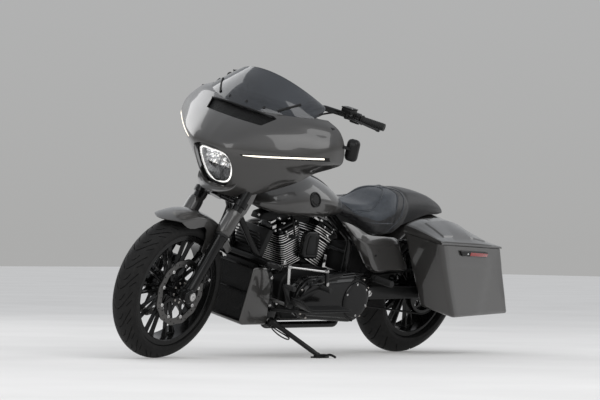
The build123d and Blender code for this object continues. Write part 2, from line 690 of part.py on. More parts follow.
left_frame, right_frame = left_and_right(frame_side())
PIVOT_X = 455.0
PIVOT_R = 12.0
pivot_half = SWINGARM_IN_Y + SWINGARM_T + 3
frame = joined(
    neck, backbone, left_frame, right_frame,
    drum((PIVOT_X, SWINGARM_Z), -pivot_half, pivot_half, PIVOT_R),
    drum((REAR_POST_X, 500), -REAR_POST_Y, REAR_POST_Y, 9),
    drum((1142, 420), -143.7, 143.7, 8),
    drum((1086, 250), -143.7, 143.7, 8),
)
for side in (1, -1):
    y0, y1 = side * (REAR_POST_Y - 8), side * (REAR_POST_Y + 8)
    plate_rear = PIVOT_X - 24
    pivot_plate = [(plate_rear, 306), (REAR_POST_X, 280), (REAR_POST_X, 400), (plate_rear, 354)]
    frame = frame + slab(pivot_plate, y0, y1)
frame = frame - rod(along_stem(NECK_LOW - 20), along_stem(NECK_HIGH + 20), STEM_R + 1)

# ---------------------------------------------------------------- engine
case_outline = [
    (1005, 262), (1005, 372), (955, CASE_TOP), (780, CASE_TOP), (745, 408), (606, 408), (590, 300),
    (606, 214), (650, CASE_BOTTOM), (950, CASE_BOTTOM),
]
primary_outer = [
    (PRIMARY_REAR_X, PRIMARY_REAR_R), (PRIMARY_FRONT_X, PRIMARY_FRONT_R),
]


def chain_case(y_from, y_to, shrink):
    """The shape of a belt round two circles, as a plate between two y values."""
    low, high = min(y_from, y_to), max(y_from, y_to)
    circles = [Pos(x, low, PRIMARY_Z) * Rot(-90, 0, 0) * Circle(r - shrink) for x, r in primary_outer]
    rise = asin((PRIMARY_REAR_R - PRIMARY_FRONT_R) / (PRIMARY_FRONT_X - PRIMARY_REAR_X))
    corners = [
        (x + (r - shrink) * sin(rise), PRIMARY_Z + flip * (r - shrink) * cos(rise))
        for x, r, flip in [
            (PRIMARY_REAR_X, PRIMARY_REAR_R, 1), (PRIMARY_FRONT_X, PRIMARY_FRONT_R, 1),
            (PRIMARY_FRONT_X, PRIMARY_FRONT_R, -1), (PRIMARY_REAR_X, PRIMARY_REAR_R, -1)]
    ]
    plates = [extrude(circle, amount=high - low, dir=(0, 1, 0)) for circle in circles]
    return joined(slab(corners, low, high), *plates)


engine_case = slab(case_outline, -CASE_HALF_W, CASE_HALF_W)
engine_case = engine_case + slab(
    [(770, 250), (950, 250), (950, 390), (770, 390)], CASE_HALF_W - 1, PRIMARY_IN_Y - GAP)
engine_case = engine_case - left_frame - right_frame
primary_cover = chain_case(PRIMARY_IN_Y, PRIMARY_OUT_Y, 0)
derby_cover = drum((PRIMARY_REAR_X, PRIMARY_Z), PRIMARY_OUT_Y + GAP, PRIMARY_OUT_Y + 9, DERBY_R)
gear_cover = drum((870, 330), -CASE_HALF_W - GAP, -CASE_HALF_W - 34, 92)


def cylinder(lean):
    """Barrel, fins, head and rocker box along an axis that leans from the vertical."""
    place = Pos(CRANK_X, 0, CRANK_Z) * Rot(0, lean, 0)
    up = (Align.CENTER, Align.CENTER, Align.MIN)
    body = Pos(0, 0, BARREL_FOOT - 20) * Cylinder(CYLINDER_R, HEAD_FOOT - BARREL_FOOT + 20, align=up)
    for row in range(FIN_COUNT):
        fin = Box(FIN_X, FIN_Y, FIN_T, align=up)
        fin = fillet(fin.edges().filter_by(Axis.Z), 30)
        body = body + Pos(0, 0, BARREL_FOOT + 6 + row * FIN_PITCH) * fin
    head = fillet(Box(FIN_X + 8, FIN_Y + 4, HEAD_H, align=up).edges().filter_by(Axis.Z), 26)
    body = body + Pos(0, 0, HEAD_FOOT) * head
    half = Pos(500 * (1 if lean > 0 else -1) + CRANK_X + (1 if lean > 0 else -1), 0, CRANK_Z + 300)
    body = place * body
    return body & (half * Box(1000, 400, 700))


def rocker_box(lean):
    """The rocker box on a cylinder's head."""
    place = Pos(CRANK_X, 0, CRANK_Z) * Rot(0, lean, 0)
    box = Box(FIN_X + 4, FIN_Y + 2, ROCKER_H, align=(Align.CENTER, Align.CENTER, Align.MIN))
    box = fillet(box.edges().filter_by(Axis.Z), 24)
    box = chamfer(box.faces().sort_by(Axis.Z)[-1].edges(), 9)
    return place * Pos(0, 0, HEAD_FOOT + HEAD_H + GAP) * box


cylinder_front = cylinder(VEE_HALF_ANGLE) - engine_case
cylinder_rear = cylinder(-VEE_HALF_ANGLE) - engine_case
rocker_boxes = [rocker_box(VEE_HALF_ANGLE), rocker_box(-VEE_HALF_ANGLE)]
horn_cover = slab(
    [(CRANK_X - 62, 470), (CRANK_X + 52, 470), (CRANK_X + 40, 600), (CRANK_X - 50, 600)],
    FIN_Y / 2 + GAP, FIN_Y / 2 + 34)
air_cleaner = drum((CRANK_X - 12, 560), -FIN_Y / 2 - 2 - GAP, -FIN_Y / 2 - 108, 84)

# ---------------------------------------------------------------- tank, seat and side covers
# each row: x, half width of the base and of the flanks, then z of base, flank top and crest
TANK_ROWS = [
    (1195, 46, 60, 700, 718, 752),
    (1120, 88, 110, 680, 716, 798),
    (1030, 105, 142, 674, 736, 842),
    (920, 105, 146, 670, 742, 859),
    (800, 95, 135, 670, 730, 830),
    (690, 68, 104, 676, 710, 777),
    (634, 40, 60, 684, 700, 737),
]
SEAT_ROWS = [
    (630, 42, 58, 678, 694, 716),
    (560, 88, 116, 650, 684, 732),
    (470, 126, 158, 602, 664, 746),
    (401, 126, 158, 594, 684, 782),
    (318, 112, 146, 600, 708, 796),
    (262, 104, 134, 626, 722, 800),
    (180, 96, 120, 647.8, 728, 797),
    (40, 92, 112, 686.8, 728, 773),
    (-53, 66, 86, 686, 706, 735),
    (-104, 38, 52, 676, 682, 692),
]
fuel_tank = loft([spanning(*row) for row in TANK_ROWS], ruled=True)
tunnel = tube(backbone_path, 60, BACKBONE_R + GAP)
tunnel = tunnel + slab(
    [(600, 560), (1250, 560), (1250, 712), (700, 690), (600, 620)], -BACKBONE_R - GAP, BACKBONE_R + GAP)
fuel_tank = fuel_tank - tunnel
seat = loft([spanning(*row) for row in SEAT_ROWS], ruled=True)
CONSOLE_HALF_W = 34.0
console_outline = [
    (1090, 819), (1000, 855), (920, 866), (820, 843), (700, 789), (700, 770), (920, 842), (1090, 798)]
tank_console = slab(console_outline, -CONSOLE_HALF_W, CONSOLE_HALF_W) - fuel_tank
tank_console = tank_console + (rod((905, 0, 856), (906, 0, 873), 30) - fuel_tank)


def medallion(side):
    """A plain round badge on the tank's flank."""
    disc = rod((934, side * 120, 756), (934, side * 156, 768), 34)
    return disc - loft([spanning(*row) for row in TANK_ROWS], ruled=True)


tank_badges = [medallion(side) for side in (1, -1)]
cover_outline = [
    (668, 648), (572, 556), (452, 430), (205, 442), (318, 580), (385, 590), (600, 590),
]
side_covers = list(left_and_right(slab(cover_outline, SUBFRAME_Y + SUBFRAME_R + GAP, 154)))
BATTERY_REAR_X = 372.0
battery_front_x = REAR_POST_X - 9 - GAP
battery_box = slab(
    [(BATTERY_REAR_X, 400), (battery_front_x, 400), (battery_front_x, 530), (BATTERY_REAR_X, 530)], -54, 54)

# ---------------------------------------------------------------- rear fender, swingarm, shocks and drive
rear_fender = arched(
    REAR_R + REAR_FENDER_GAP, FENDER_T, REAR_FENDER_HALF_W, REAR_R + REAR_FENDER_GAP - REAR_FENDER_DROP,
    25.0, 168.0, REAR_AXLE)


def swingarm_side(side):
    """One arm, bored for the axle and the pivot shaft."""
    y0, y1 = side * SWINGARM_IN_Y, side * (SWINGARM_IN_Y + SWINGARM_T)
    outline = [
        (-34, REAR_R - 24), (-34, REAR_R + 24), (60, REAR_R + 28), (430, SWINGARM_Z + 32),
        (482, SWINGARM_Z + 20), (482, SWINGARM_Z - 22), (430, SWINGARM_Z - 32), (60, REAR_R - 28)]
    arm = slab(outline, y0, y1)
    for x, z, r in [(0, REAR_R, AXLE_R), (PIVOT_X, SWINGARM_Z, PIVOT_R)]:
        arm = arm - drum((x, z), y0 - side * 1, y1 + side * 1, r + AXLE_CLEARANCE)
    return arm


swingarm = joined(
    swingarm_side(1), swingarm_side(-1),
    drum((402, SWINGARM_Z), -SWINGARM_IN_Y - 2, SWINGARM_IN_Y + 2, 20))
SHOCK_Y = 172.0
SHOCK_FOOT = (72.0, REAR_R + 2)
SHOCK_HEAD = (170.0, 574.0)
shock = joined(
    rod((SHOCK_FOOT[0], SHOCK_Y, SHOCK_FOOT[1]), (SHOCK_HEAD[0], SHOCK_Y, SHOCK_HEAD[1]), 12),
    rod((94, SHOCK_Y, SHOCK_FOOT[1] + 54.8), (146, SHOCK_Y, SHOCK_HEAD[1] - 59.8), 21),
    drum(SHOCK_FOOT, SWINGARM_IN_Y + SWINGARM_T + GAP, SHOCK_Y + 16, 15),
    drum(SHOCK_HEAD, SUBFRAME_Y + SUBFRAME_R + GAP, SHOCK_Y + 16, 15),
)
shocks = list(left_and_right(shock))


def belt_loop(shrink, y_from, y_to):
    """A filled belt shape round the two pulleys."""
    front_r, rear_r = GEARBOX_PULLEY_R - shrink, REAR_PULLEY_R - shrink
    rise = asin((rear_r - front_r) / GEARBOX_PULLEY_X)
    corners = [
        (x + r * sin(rise), REAR_R + flip * r * cos(rise))
        for x, r, flip in [
            (0, rear_r, 1), (GEARBOX_PULLEY_X, front_r, 1), (GEARBOX_PULLEY_X, front_r, -1), (0, rear_r, -1)]
    ]
    ends = [drum((0, REAR_R), y_from, y_to, rear_r), drum((GEARBOX_PULLEY_X, REAR_R), y_from, y_to, front_r)]
    return joined(slab(corners, y_from, y_to), *ends)


belt_out_y = BELT_IN_Y + BELT_W
drive_belt = belt_loop(-1 - BELT_T, BELT_IN_Y, belt_out_y) - belt_loop(-1, BELT_IN_Y - 1, belt_out_y + 1)
gearbox_pulley = drum((GEARBOX_PULLEY_X, REAR_R), CASE_HALF_W + GAP, belt_out_y, GEARBOX_PULLEY_R + 0.7)
axle_end = SWINGARM_IN_Y + SWINGARM_T
rear_axle = at_rear * joined(
    drum((0, 0), -axle_end - 4, axle_end + 4, AXLE_R),
    drum((0, 0), axle_end + GAP, axle_end + 12, AXLE_R + 8),
    drum((0, 0), -axle_end - 12, -axle_end - GAP, AXLE_R + 8),
    drum((0, 0), pulley_y + 20 + GAP, SWINGARM_IN_Y - GAP, AXLE_R + 5),
    drum((0, 0), -SWINGARM_IN_Y + GAP, rear_disc_y - GAP, AXLE_R + 5),
)
rear_caliper = at_rear * slab([(70, 97), (140, 97), (165, 142), (130, 172), (60, 162)], -125, -80)
rear_caliper = rear_caliper - at_rear * drum((0, 0), rear_disc_y - 6, rear_disc_y + DISC_T + 6, DISC_R + 6)
rear_caliper = rear_caliper + at_rear * slab([(20, 24.3), (90, 28.6), (110, 102), (70, 102)], -146, -112)
rear_caliper = rear_caliper - swingarm - rear_axle

# ---------------------------------------------------------------- exhaust
PIPE_R = 19.0
front_header = tube([
    (985, -88.4, 596), (1035, -160, 580), (1035, -160, 205), (520, -160, 205), (430, -MUFFLER_Y, MUFFLER_Z),
    (400, -MUFFLER_Y, MUFFLER_Z)], 26, PIPE_R)
rear_header = tube([(700, -87.6, 560), (655, -160, 545), (655, -160, 215)], 30, PIPE_R)
exhaust_pipes = front_header + rear_header


def muffler():
    """The muffler under the right bag, with its hanger and its open outlet."""
    y = -MUFFLER_Y
    body = rod((398, y, MUFFLER_Z), (360, y, MUFFLER_Z), PIPE_R + 5)
    body = body + rod((370, y, MUFFLER_Z), (MUFFLER_REAR_X, y, MUFFLER_Z), MUFFLER_R)
    body = body + Pos(60, y, (MUFFLER_Z + BAG_FLOOR_Z - GAP) / 2) * Box(60, 8, BAG_FLOOR_Z - GAP - MUFFLER_Z)
    bore = rod((MUFFLER_REAR_X - 1, y, MUFFLER_Z), (MUFFLER_REAR_X + OUTLET_DEPTH, y, MUFFLER_Z),
               MUFFLER_R - MUFFLER_WALL)
    return body - bore - exhaust_pipes

# ---------------------------------------------------------------- saddlebags and lids
joint_slope = (BAG_FRONT_TOP[1] - BAG_REAR_TOP[1]) / (BAG_FRONT_TOP[0] - BAG_REAR_TOP[0])


def joint_z(x):
    """Height of the joint between bag and lid."""
    return BAG_REAR_TOP[1] + joint_slope * (x - BAG_REAR_TOP[0])


def bag_plan(inset):
    """The bag's footprint as a tall prism: straight inside, tapering outside."""
    points = [
        (600, BAG_IN_Y + inset), (600, bag_outer_y(600) - inset),
        (-600, bag_outer_y(-600) - inset), (-600, BAG_IN_Y + inset)]
    face = make_face(Polyline(*[(x, y, 100) for x, y in points], close=True))
    return extrude(face, amount=800, dir=(0, 0, 1))


def bag_outer_y(x):
    """How far out a bag's outer face is at x."""
    return BAG_OUT_Y - BAG_TAPER * (BAG_FRONT_TOP[0] - x)


def bag():
    """An open-topped case whose front and rear walls lean back, with walls of one thickness."""
    front_slope = (BAG_FRONT_TOP[0] - BAG_FRONT_FOOT) / (BAG_FRONT_TOP[1] - BAG_FLOOR_Z)
    rear_slope = (BAG_REAR_TOP[0] - BAG_REAR_FOOT) / (BAG_REAR_TOP[1] - BAG_FLOOR_Z)
    front_wall = BAG_WALL * sqrt(1 + front_slope ** 2)
    rear_wall = BAG_WALL * sqrt(1 + rear_slope ** 2)
    rise = 20
    outer = slab([
        BAG_FRONT_TOP, (BAG_FRONT_FOOT, BAG_FLOOR_Z), (BAG_REAR_FOOT, BAG_FLOOR_Z), BAG_REAR_TOP], 0, 600)
    inner = slab([
        (BAG_FRONT_TOP[0] + rise * front_slope - front_wall, BAG_FRONT_TOP[1] + rise),
        (BAG_FRONT_FOOT + BAG_WALL * front_slope - front_wall, BAG_FLOOR_Z + BAG_WALL),
        (BAG_REAR_FOOT + BAG_WALL * rear_slope + rear_wall, BAG_FLOOR_Z + BAG_WALL),
        (BAG_REAR_TOP[0] + rise * rear_slope + rear_wall, BAG_REAR_TOP[1] + rise)], 0, 600)
    return (outer & bag_plan(0)) - (inner & bag_plan(BAG_WALL))


# each row: x, height of the shoulder above the joint, height of the crest above the joint
LID_ROWS = [
    (BAG_FRONT_TOP[0], 14, 36), (304, 16, 57), (255, 16, 72), (116, 16, 86), (-63, 14, 43),
    (BAG_REAR_TOP[0], 9, 13)]


def lid_face(x, shoulder, crest, inset):
    z = joint_z(x) + LID_GAP
    y_in, y_out = BAG_IN_Y + inset, bag_outer_y(x) - inset
    points = [
        (y_in, z - inset), (y_in, z + crest - inset * 1.3), (y_in + 60, z + crest - inset * 1.3),
        (y_out, z + shoulder - inset), (y_out, z - inset)]
    return make_face(Polyline(*[(x, y, height) for y, height in points], close=True))


def lid():
    outer = loft([lid_face(*row, 0) for row in LID_ROWS], ruled=True)
    inner_rows = [(min(max(row[0], BAG_REAR_TOP[0] + BAG_WALL), BAG_FRONT_TOP[0] - BAG_WALL), *row[1:])
                  for row in LID_ROWS]
    inner = loft([lid_face(*row, BAG_WALL) for row in inner_rows], ruled=True)
    return outer - inner


bags = list(left_and_right(bag()))
lids = list(left_and_right(lid()))
lamp_corners = [(x, drop) for drop in LAMP_DROP for x in (LAMP_X if drop == LAMP_DROP[0] else LAMP_X[::-1])]
lamp_face = slab([(x, joint_z(x) - drop) for x, drop in lamp_corners], 200, 600)
bag_lights = list(left_and_right((lamp_face & bag_plan(-10)) - bag_plan(-GAP)))

# ---------------------------------------------------------------- tail
fender_room = at_rear * drum((0, 0), -200, 200, REAR_R + REAR_FENDER_GAP + FENDER_T + GAP)
tail_lamp = (at_rear * Pos(-REAR_R - 2, 0, 158) * Box(50, 130, 44)) - fender_room
plate_bracket = (at_rear * Pos(-REAR_R - 26, 0, 72) * Box(36, 60, 40)) - fender_room
plate = (at_rear * Pos(-REAR_R - 44, 0, 60) * Box(3, 180, 110)) + plate_bracket

# ---------------------------------------------------------------- chin spoiler and guard bar
CHIN_HALF_W = 150.0
CHIN_WALL = 6.0
chin_outline = [(1253, 448), (1284, 196), (1262, 184), (1106, 184), (1118, 368), (1168, 448)]
chin_spoiler = slab(chin_outline, -CHIN_HALF_W, CHIN_HALF_W)
chin_inner = CHIN_HALF_W - CHIN_WALL
chin_bore = slab([(1300, 470), (1320, 190), (1050, 190), (1060, 470)], -chin_inner, chin_inner)
chin_spoiler = chin_spoiler - chin_bore
grille_half = chin_inner - GAP
chin_grille = slab([(1238, 440), (1266, 192), (1258, 191), (1230, 439)], -grille_half, grille_half)
guard_half = tube([
    (1186, -1, 470), (1186, 172, 470), (1160, 196, 468), (1120, 182, 452), (1103, 126, 426)], 12, BAR_R)
guard_bar = (guard_half + mirror(guard_half, about=Plane.XZ)) - frame - chin_spoiler

# ---------------------------------------------------------------- footboards, foot controls and pegs
BOARD_IN_Y, BOARD_OUT_Y = 266.0, 352.0
board_outline = [(786, 294), (1068, 294), (1128, 338), (1122, 346), (1064, 306), (786, 306)]


def footboard():
    """A floorboard with the bent arm that carries it from the frame."""
    board = slab(board_outline, BOARD_IN_Y, BOARD_OUT_Y)
    arm = tube([(1086, 124, 250), (1074, 182, 262), (1020, 300, 288), (830, 309, 290)], 20, 8)
    return board + arm - frame


SHIFT_Y = 236.0
shift_linkage = joined(
    drum((1093, 300), RAIL_Y + FRAME_TUBE_R + GAP, 252, 8),
    rod((1093, SHIFT_Y, 300), (1129, SHIFT_Y, 474), 6),
    rod((1129, SHIFT_Y, 474), (867, SHIFT_Y, 451), 5),
    rod((867, SHIFT_Y, 455), (852, SHIFT_Y, 395), 6),
    drum((852, 395), PRIMARY_OUT_Y + GAP, SHIFT_Y + 6, 9),
    rod((1093, 248, 300), (1150, 254, 392), 6),
    rod((1093, 248, 300), (905, 252, 384), 6),
    drum((1150, 392), 256, 316, 10),
    drum((905, 384), 250, 312, 10),
)
brake_pedal = joined(
    drum((1093, 300), -RAIL_Y - FRAME_TUBE_R - GAP, -252, 8),
    rod((1093, -248, 300), (1150, -254, 392), 7),
    slab([(1128, 388), (1172, 396), (1170, 406), (1126, 398)], -310, -250),
)
peg_point = (478.0, 410.0)
for side in (1, -1):
    frame = frame + tube([
        (REAR_POST_X, side * (REAR_POST_Y + 6), peg_point[1]), (peg_point[0], side * 124, peg_point[1]),
        (peg_point[0], side * 200, peg_point[1])], 20, 9)
    for x in (20, 255):
        frame = frame + drum((x, SUBFRAME_Z + 4), side * SUBFRAME_Y, side * (BAG_IN_Y - GAP), 8)
    fender_side = side * (REAR_FENDER_HALF_W + GAP)
    frame = frame + drum((201, SUBFRAME_Z + 5), fender_side, side * SUBFRAME_Y, 8)
    frame = frame + rod((-30, side * SUBFRAME_Y, SUBFRAME_Z + 8), (-30, side * SUBFRAME_Y, 645), 8)
    frame = frame + drum((-30, 645), fender_side, side * (SUBFRAME_Y + 7), 8)
PEG_R = 15.0
PEG_IN_Y = 200 + GAP
PEG_OUT_Y = 304.0
passenger_pegs = [drum(peg_point, side * PEG_IN_Y, side * PEG_OUT_Y, PEG_R) for side in (1, -1)]

# ---------------------------------------------------------------- side stand
pivot = Vector(*STAND_PIVOT)
foot_top = Vector(STAND_FOOT[0], STAND_FOOT[1], floor_z(*STAND_FOOT) + 6)
stand_out = (foot_top - pivot).normalized()
stand_in = Vector(*STAND_STOWED).normalized()
stand_axis = stand_out.cross(stand_in).normalized()
STAND_FOLD = degrees(atan2(stand_out.cross(stand_in).length, stand_out.dot(stand_in)))
frame = joined(
    frame,
    rod(pivot - stand_axis * 24, pivot + stand_axis * 16, 7),
    rod(pivot - stand_axis * 24, pivot - stand_axis * 14, 12),
    rod((1080, RAIL_Y, RAIL_Z + 4), pivot - stand_axis * 19, 10),
)
foot_face = Plane(origin=foot_top - UP_FROM_FLOOR * 6, x_dir=Vector(1, 0, 0), z_dir=UP_FROM_FLOOR)
foot_pad = foot_face * Box(84, 46, 8, align=(Align.CENTER, Align.CENTER, Align.MIN))
side_stand = joined(
    rod(pivot - stand_axis * 11, pivot + stand_axis * 11, 16),
    rod(pivot + stand_out * 4, foot_top, STAND_LEG_R),
    foot_pad,
) - rod(pivot - stand_axis * 30, pivot + stand_axis * 30, 7.3)
below_floor = foot_face * Box(400, 400, 100, align=(Align.CENTER, Align.CENTER, Align.MAX))
side_stand = side_stand - below_floor

# ---------------------------------------------------------------- bodies, placement and export
STEERED = {
    "fork_frame": fork_frame, "fork_sliders": fork_sliders, "fork_covers": fork_covers,
    "front_axle": front_axle, "front_fender": front_fender, "front_calipers": front_calipers,
    "fairing_outer": fairing_outer, "fairing_inner": fairing_inner, "fairing_vent": fairing_vent,
    "windshield": windshield, "headlamp": headlamp, "light_strips": light_strips,
    "handlebar": handlebar, "grips": grips, "hand_controls": hand_controls, "mirrors": mirrors,
    "front_tyre": front_tyre, "front_rim": front_wheel, "front_discs": front_discs,
}
FIXED = {
    "frame": frame, "engine_case": engine_case, "primary_cover": primary_cover,
    "engine_covers": [derby_cover, gear_cover, horn_cover],
    "cylinder_front": [cylinder_front, rocker_boxes[0]], "cylinder_rear": [cylinder_rear, rocker_boxes[1]],
    "air_cleaner": air_cleaner,
    "fuel_tank": fuel_tank, "tank_trim": [tank_console, *tank_badges], "seat": seat,
    "side_covers": side_covers, "battery_box": battery_box, "rear_fender": rear_fender,
    "swingarm": swingarm, "shocks": shocks, "drive_belt": [drive_belt, gearbox_pulley],
    "rear_axle": rear_axle, "rear_caliper": rear_caliper, "exhaust_pipes": exhaust_pipes,
    "muffler": muffler(), "bag_left": bags[0], "bag_right": bags[1], "rear_lamps": [tail_lamp, *bag_lights],
    "plate": plate, "chin_spoiler": chin_spoiler, "chin_grille": chin_grille,
    "guard_bar": guard_bar, "footrests": [*left_and_right(footboard()), *passenger_pegs],
    "foot_controls": [shift_linkage, brake_pedal],
    "side_stand": side_stand, "lid_left": lids[0], "lid_right": lids[1],
    "rear_tyre": rear_tyre, "rear_rim": rear_wheel, "rear_disc": rear_disc, "rear_pulley": rear_pulley,
}


def as_list(shape):
    return list(shape) if isinstance(shape, (list, tuple)) else [shape]


def settled(shape, steered):
    """A design shape turned with the steering, then pitched, leaned and set on the floor."""
    if steered:
        shape = shape.rotate(STEERING_AXIS, STEER_AT_REST)
    return Pos(0, 0, LIFT) * shape.rotate(Axis.Y, PITCH).rotate(Axis.X, -LEAN)


placed = {}
for steered, group in ((True, STEERED), (False, FIXED)):
    for name, shape in group.items():
        placed[name] = [settled(piece, steered) for piece in as_list(shape)]

boxes = [piece.bounding_box() for pieces in placed.values() for piece in pieces]
MIDDLE_X = (min(box.min.X for box in boxes) + max(box.max.X for box in boxes)) / 2
MIDDLE_Y = (min(box.min.Y for box in boxes) + max(box.max.Y for box in boxes)) / 2

os.makedirs("parts", exist_ok=True)
for name, pieces in placed.items():
    moved = [Pos(-MIDDLE_X, -MIDDLE_Y, 0) * piece for piece in pieces]
    node = moved[0] if len(moved) == 1 else Compound(children=moved)
    export_step(node, f"parts/{name}.step")
print(f"{len(placed)} nodes, pitch {PITCH:.4f}, lift {LIFT:.2f}, middle {MIDDLE_X:.2f}, {MIDDLE_Y:.2f}")
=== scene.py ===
# %% [markdown]
# # A touring cruiser motorcycle on its side stand
#
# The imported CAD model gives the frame: every body, every joint and every node at its real place.
# This lesson dresses that frame, one piece at a time, with modelled shells and procedural finishes.
# Nothing here moves a CAD piece. What a new piece needs to know about places it reads from the frame.

# %% Load the frame
import json
from math import atan2, cos, degrees, hypot, pi, radians, sin, sqrt

import bmesh
import bpy
from mathutils import Matrix, Vector


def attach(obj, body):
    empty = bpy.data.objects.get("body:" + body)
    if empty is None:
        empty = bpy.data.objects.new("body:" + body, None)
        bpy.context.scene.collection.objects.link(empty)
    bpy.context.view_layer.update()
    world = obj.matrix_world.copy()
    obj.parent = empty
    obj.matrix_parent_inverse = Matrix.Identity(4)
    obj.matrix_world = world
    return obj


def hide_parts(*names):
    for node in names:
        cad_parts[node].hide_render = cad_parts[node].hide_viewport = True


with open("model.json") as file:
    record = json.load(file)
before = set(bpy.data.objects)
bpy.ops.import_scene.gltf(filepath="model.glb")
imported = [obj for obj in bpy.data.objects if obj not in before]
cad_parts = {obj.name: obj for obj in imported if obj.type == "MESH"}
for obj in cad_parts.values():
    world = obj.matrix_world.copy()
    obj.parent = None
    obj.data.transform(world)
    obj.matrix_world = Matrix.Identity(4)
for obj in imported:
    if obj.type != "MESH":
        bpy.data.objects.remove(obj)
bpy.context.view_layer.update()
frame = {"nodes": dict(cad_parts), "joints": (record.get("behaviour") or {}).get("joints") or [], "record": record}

bpy.ops.object.select_all(action="DESELECT")
joints = {joint["name"]: joint for joint in frame["joints"]}

# %% [markdown]
# ## Two upright benches
#
# The machine is parked leaning and with its bars turned, which is an awkward pose to model in.
# So each piece is built upright, as on a bench: x forward from the rear axle, y to the rider's left and
# z up from the floor, in metres. A matrix then sets it down where the body really stands. The rear axle
# and the steering axis are enough to work out the chassis's matrix, and the front axle gives the fork's.

# %% Bench matrices from the joints
RAKE = radians(26.0)
REAR_R = 0.328
WHEELBASE = 1.625
TRAIL = 0.170
FRONT_R = 0.320
FORK_ANGLE = radians(29.0)

side_dir = Vector(joints["rear_wheel_spin"]["axis"]).normalized()
steer_dir = Vector(joints["steering"]["axis"]).normalized()
square_dir = side_dir.cross(steer_dir).normalized()
forward_dir = square_dir * cos(RAKE) - steer_dir * sin(RAKE)
up_dir = square_dir * sin(RAKE) + steer_dir * cos(RAKE)
rear_axle = Vector(joints["rear_wheel_spin"]["pos_m"])
bench_origin = rear_axle - up_dir * REAR_R

turned = Matrix((forward_dir, side_dir, up_dir)).transposed()
CHASSIS = Matrix.Translation(bench_origin) @ turned.to_4x4()

hub_dir = Vector(joints["front_wheel_spin"]["axis"]).normalized()
steer_angle = atan2(side_dir.cross(hub_dir).dot(steer_dir), side_dir.dot(hub_dir))
steer_foot = Vector((WHEELBASE + TRAIL, 0, 0))
steer_bench = Vector((-sin(RAKE), 0, cos(RAKE)))
turn = Matrix.Rotation(steer_angle, 4, steer_bench)
FORK = CHASSIS @ Matrix.Translation(steer_foot) @ turn @ Matrix.Translation(-steer_foot)
PLACE = {"chassis": CHASSIS, "fork": FORK, "front_wheel": FORK, "rear_wheel": CHASSIS,
         "side_stand": CHASSIS, "lid_left": CHASSIS, "lid_right": CHASSIS}
front_hub = FORK @ Vector((WHEELBASE, 0, FRONT_R))
print("steering turned", round(degrees(steer_angle), 2), "degrees; front hub off by",
      round((front_hub - Vector(joints["front_wheel_spin"]["pos_m"])).length * 1000, 2), "mm")

# %% [markdown]
# ## Arithmetic for shaders
#
# A pattern is easier to read as a formula than as a dozen boxes and wires. The small class below wraps
# one output of a shader node, and gives it plus, minus, times and the rest. Every other kind of node
# comes from one method, `node`, which is told its type, its settings and what goes into its sockets.

# %% Fields and finishes
class Field:
    """A number or colour that varies over a surface: one node's output, with arithmetic."""

    def __init__(self, finish, socket):
        self.finish = finish
        self.socket = socket

    def _math(self, operation, *values):
        return self.finish.node("ShaderNodeMath", {"operation": operation}, dict(enumerate(values)))

    def __add__(self, other):
        return self._math("ADD", self, other)

    def __sub__(self, other):
        return self._math("SUBTRACT", self, other)

    def __rsub__(self, other):
        return self._math("SUBTRACT", other, self)

    def __mul__(self, other):
        return self._math("MULTIPLY", self, other)

    def __truediv__(self, other):
        return self._math("DIVIDE", self, other)

    def __gt__(self, other):
        return self._math("GREATER_THAN", self, other)

    def __lt__(self, other):
        return self._math("LESS_THAN", self, other)

    def __pow__(self, other):
        return self._math("POWER", self, other)

    def __abs__(self):
        return self._math("ABSOLUTE", self)

    def wave(self):
        return self._math("SINE", self)

    __radd__ = __add__
    __rmul__ = __mul__


class Finish:
    """A material: a Principled shader, and the nodes that feed it."""

    def __init__(self, name, **constants):
        self.material = bpy.data.materials.new(name)
        self.material.use_nodes = True
        self.tree = self.material.node_tree
        self.shader = self.tree.nodes["Principled BSDF"]
        for label, value in constants.items():
            self.shader.inputs[label.replace("_", " ")].default_value = value
        self.place = self.node("ShaderNodeTexCoord", {}, {}, "Object")

    def node(self, kind, settings, sockets, out=0):
        node = self.tree.nodes.new(kind)
        for key, value in settings.items():
            if key == "stops":
                ramp = node.color_ramp.elements
                while len(ramp) < len(value):
                    ramp.new(0.5)
                for element, (position, colour) in zip(ramp, value):
                    element.position = position
                    element.color = colour
            else:
                setattr(node, key, value)
        for key, value in sockets.items():
            self.plug(value, node.inputs[key])
        return Field(self, node.outputs[out])

    def plug(self, value, socket):
        if isinstance(value, Field):
            self.tree.links.new(value.socket, socket)
        else:
            socket.default_value = value

    def feed(self, label, value):
        self.plug(value, self.shader.inputs[label])
        return self

    def noise(self, scale, detail=3.0, roughness=0.5, where=None):
        """A cloudy field between 0 and 1, with `scale` blobs to the metre."""
        sockets = {"Vector": where or self.place, "Scale": scale, "Detail": detail, "Roughness": roughness}
        return self.node("ShaderNodeTexNoise", {}, sockets, "Fac")

    def cells(self, scale, out="Distance", feature="F1"):
        return self.node("ShaderNodeTexVoronoi", {"feature": feature},
                         {"Vector": self.place, "Scale": scale}, out)

    def ramp(self, field, *stops):
        """A colour read off a ramp by a field."""
        full = [(position, (*colour, 1.0)) for position, colour in stops]
        return self.node("ShaderNodeValToRGB", {"stops": full}, {"Fac": field}, "Color")

    def bump(self, height, distance, strength=1.0):
        field = self.node("ShaderNodeBump", {}, {"Height": height, "Distance": distance,
                                                 "Strength": strength})
        return self.feed("Normal", field)

    def axis(self, name):
        """One of the three coordinates of a point, in metres."""
        return self.node("ShaderNodeSeparateXYZ", {}, {0: self.place}, name)


def grey(level, warmth=0.0):
    return (level * (1 + warmth), level, level * (1 - warmth))


# %% [markdown]
# ## Finishes
#
# The bodywork is a warm grey under a deep clear coat. Real paint is never one flat number: it has a
# faint orange peel, fine metal flake and a film of dust that dulls the gloss a little. Each finish here
# is built the same way, from a base colour, a slow variation of it, and roughness and bump to match.

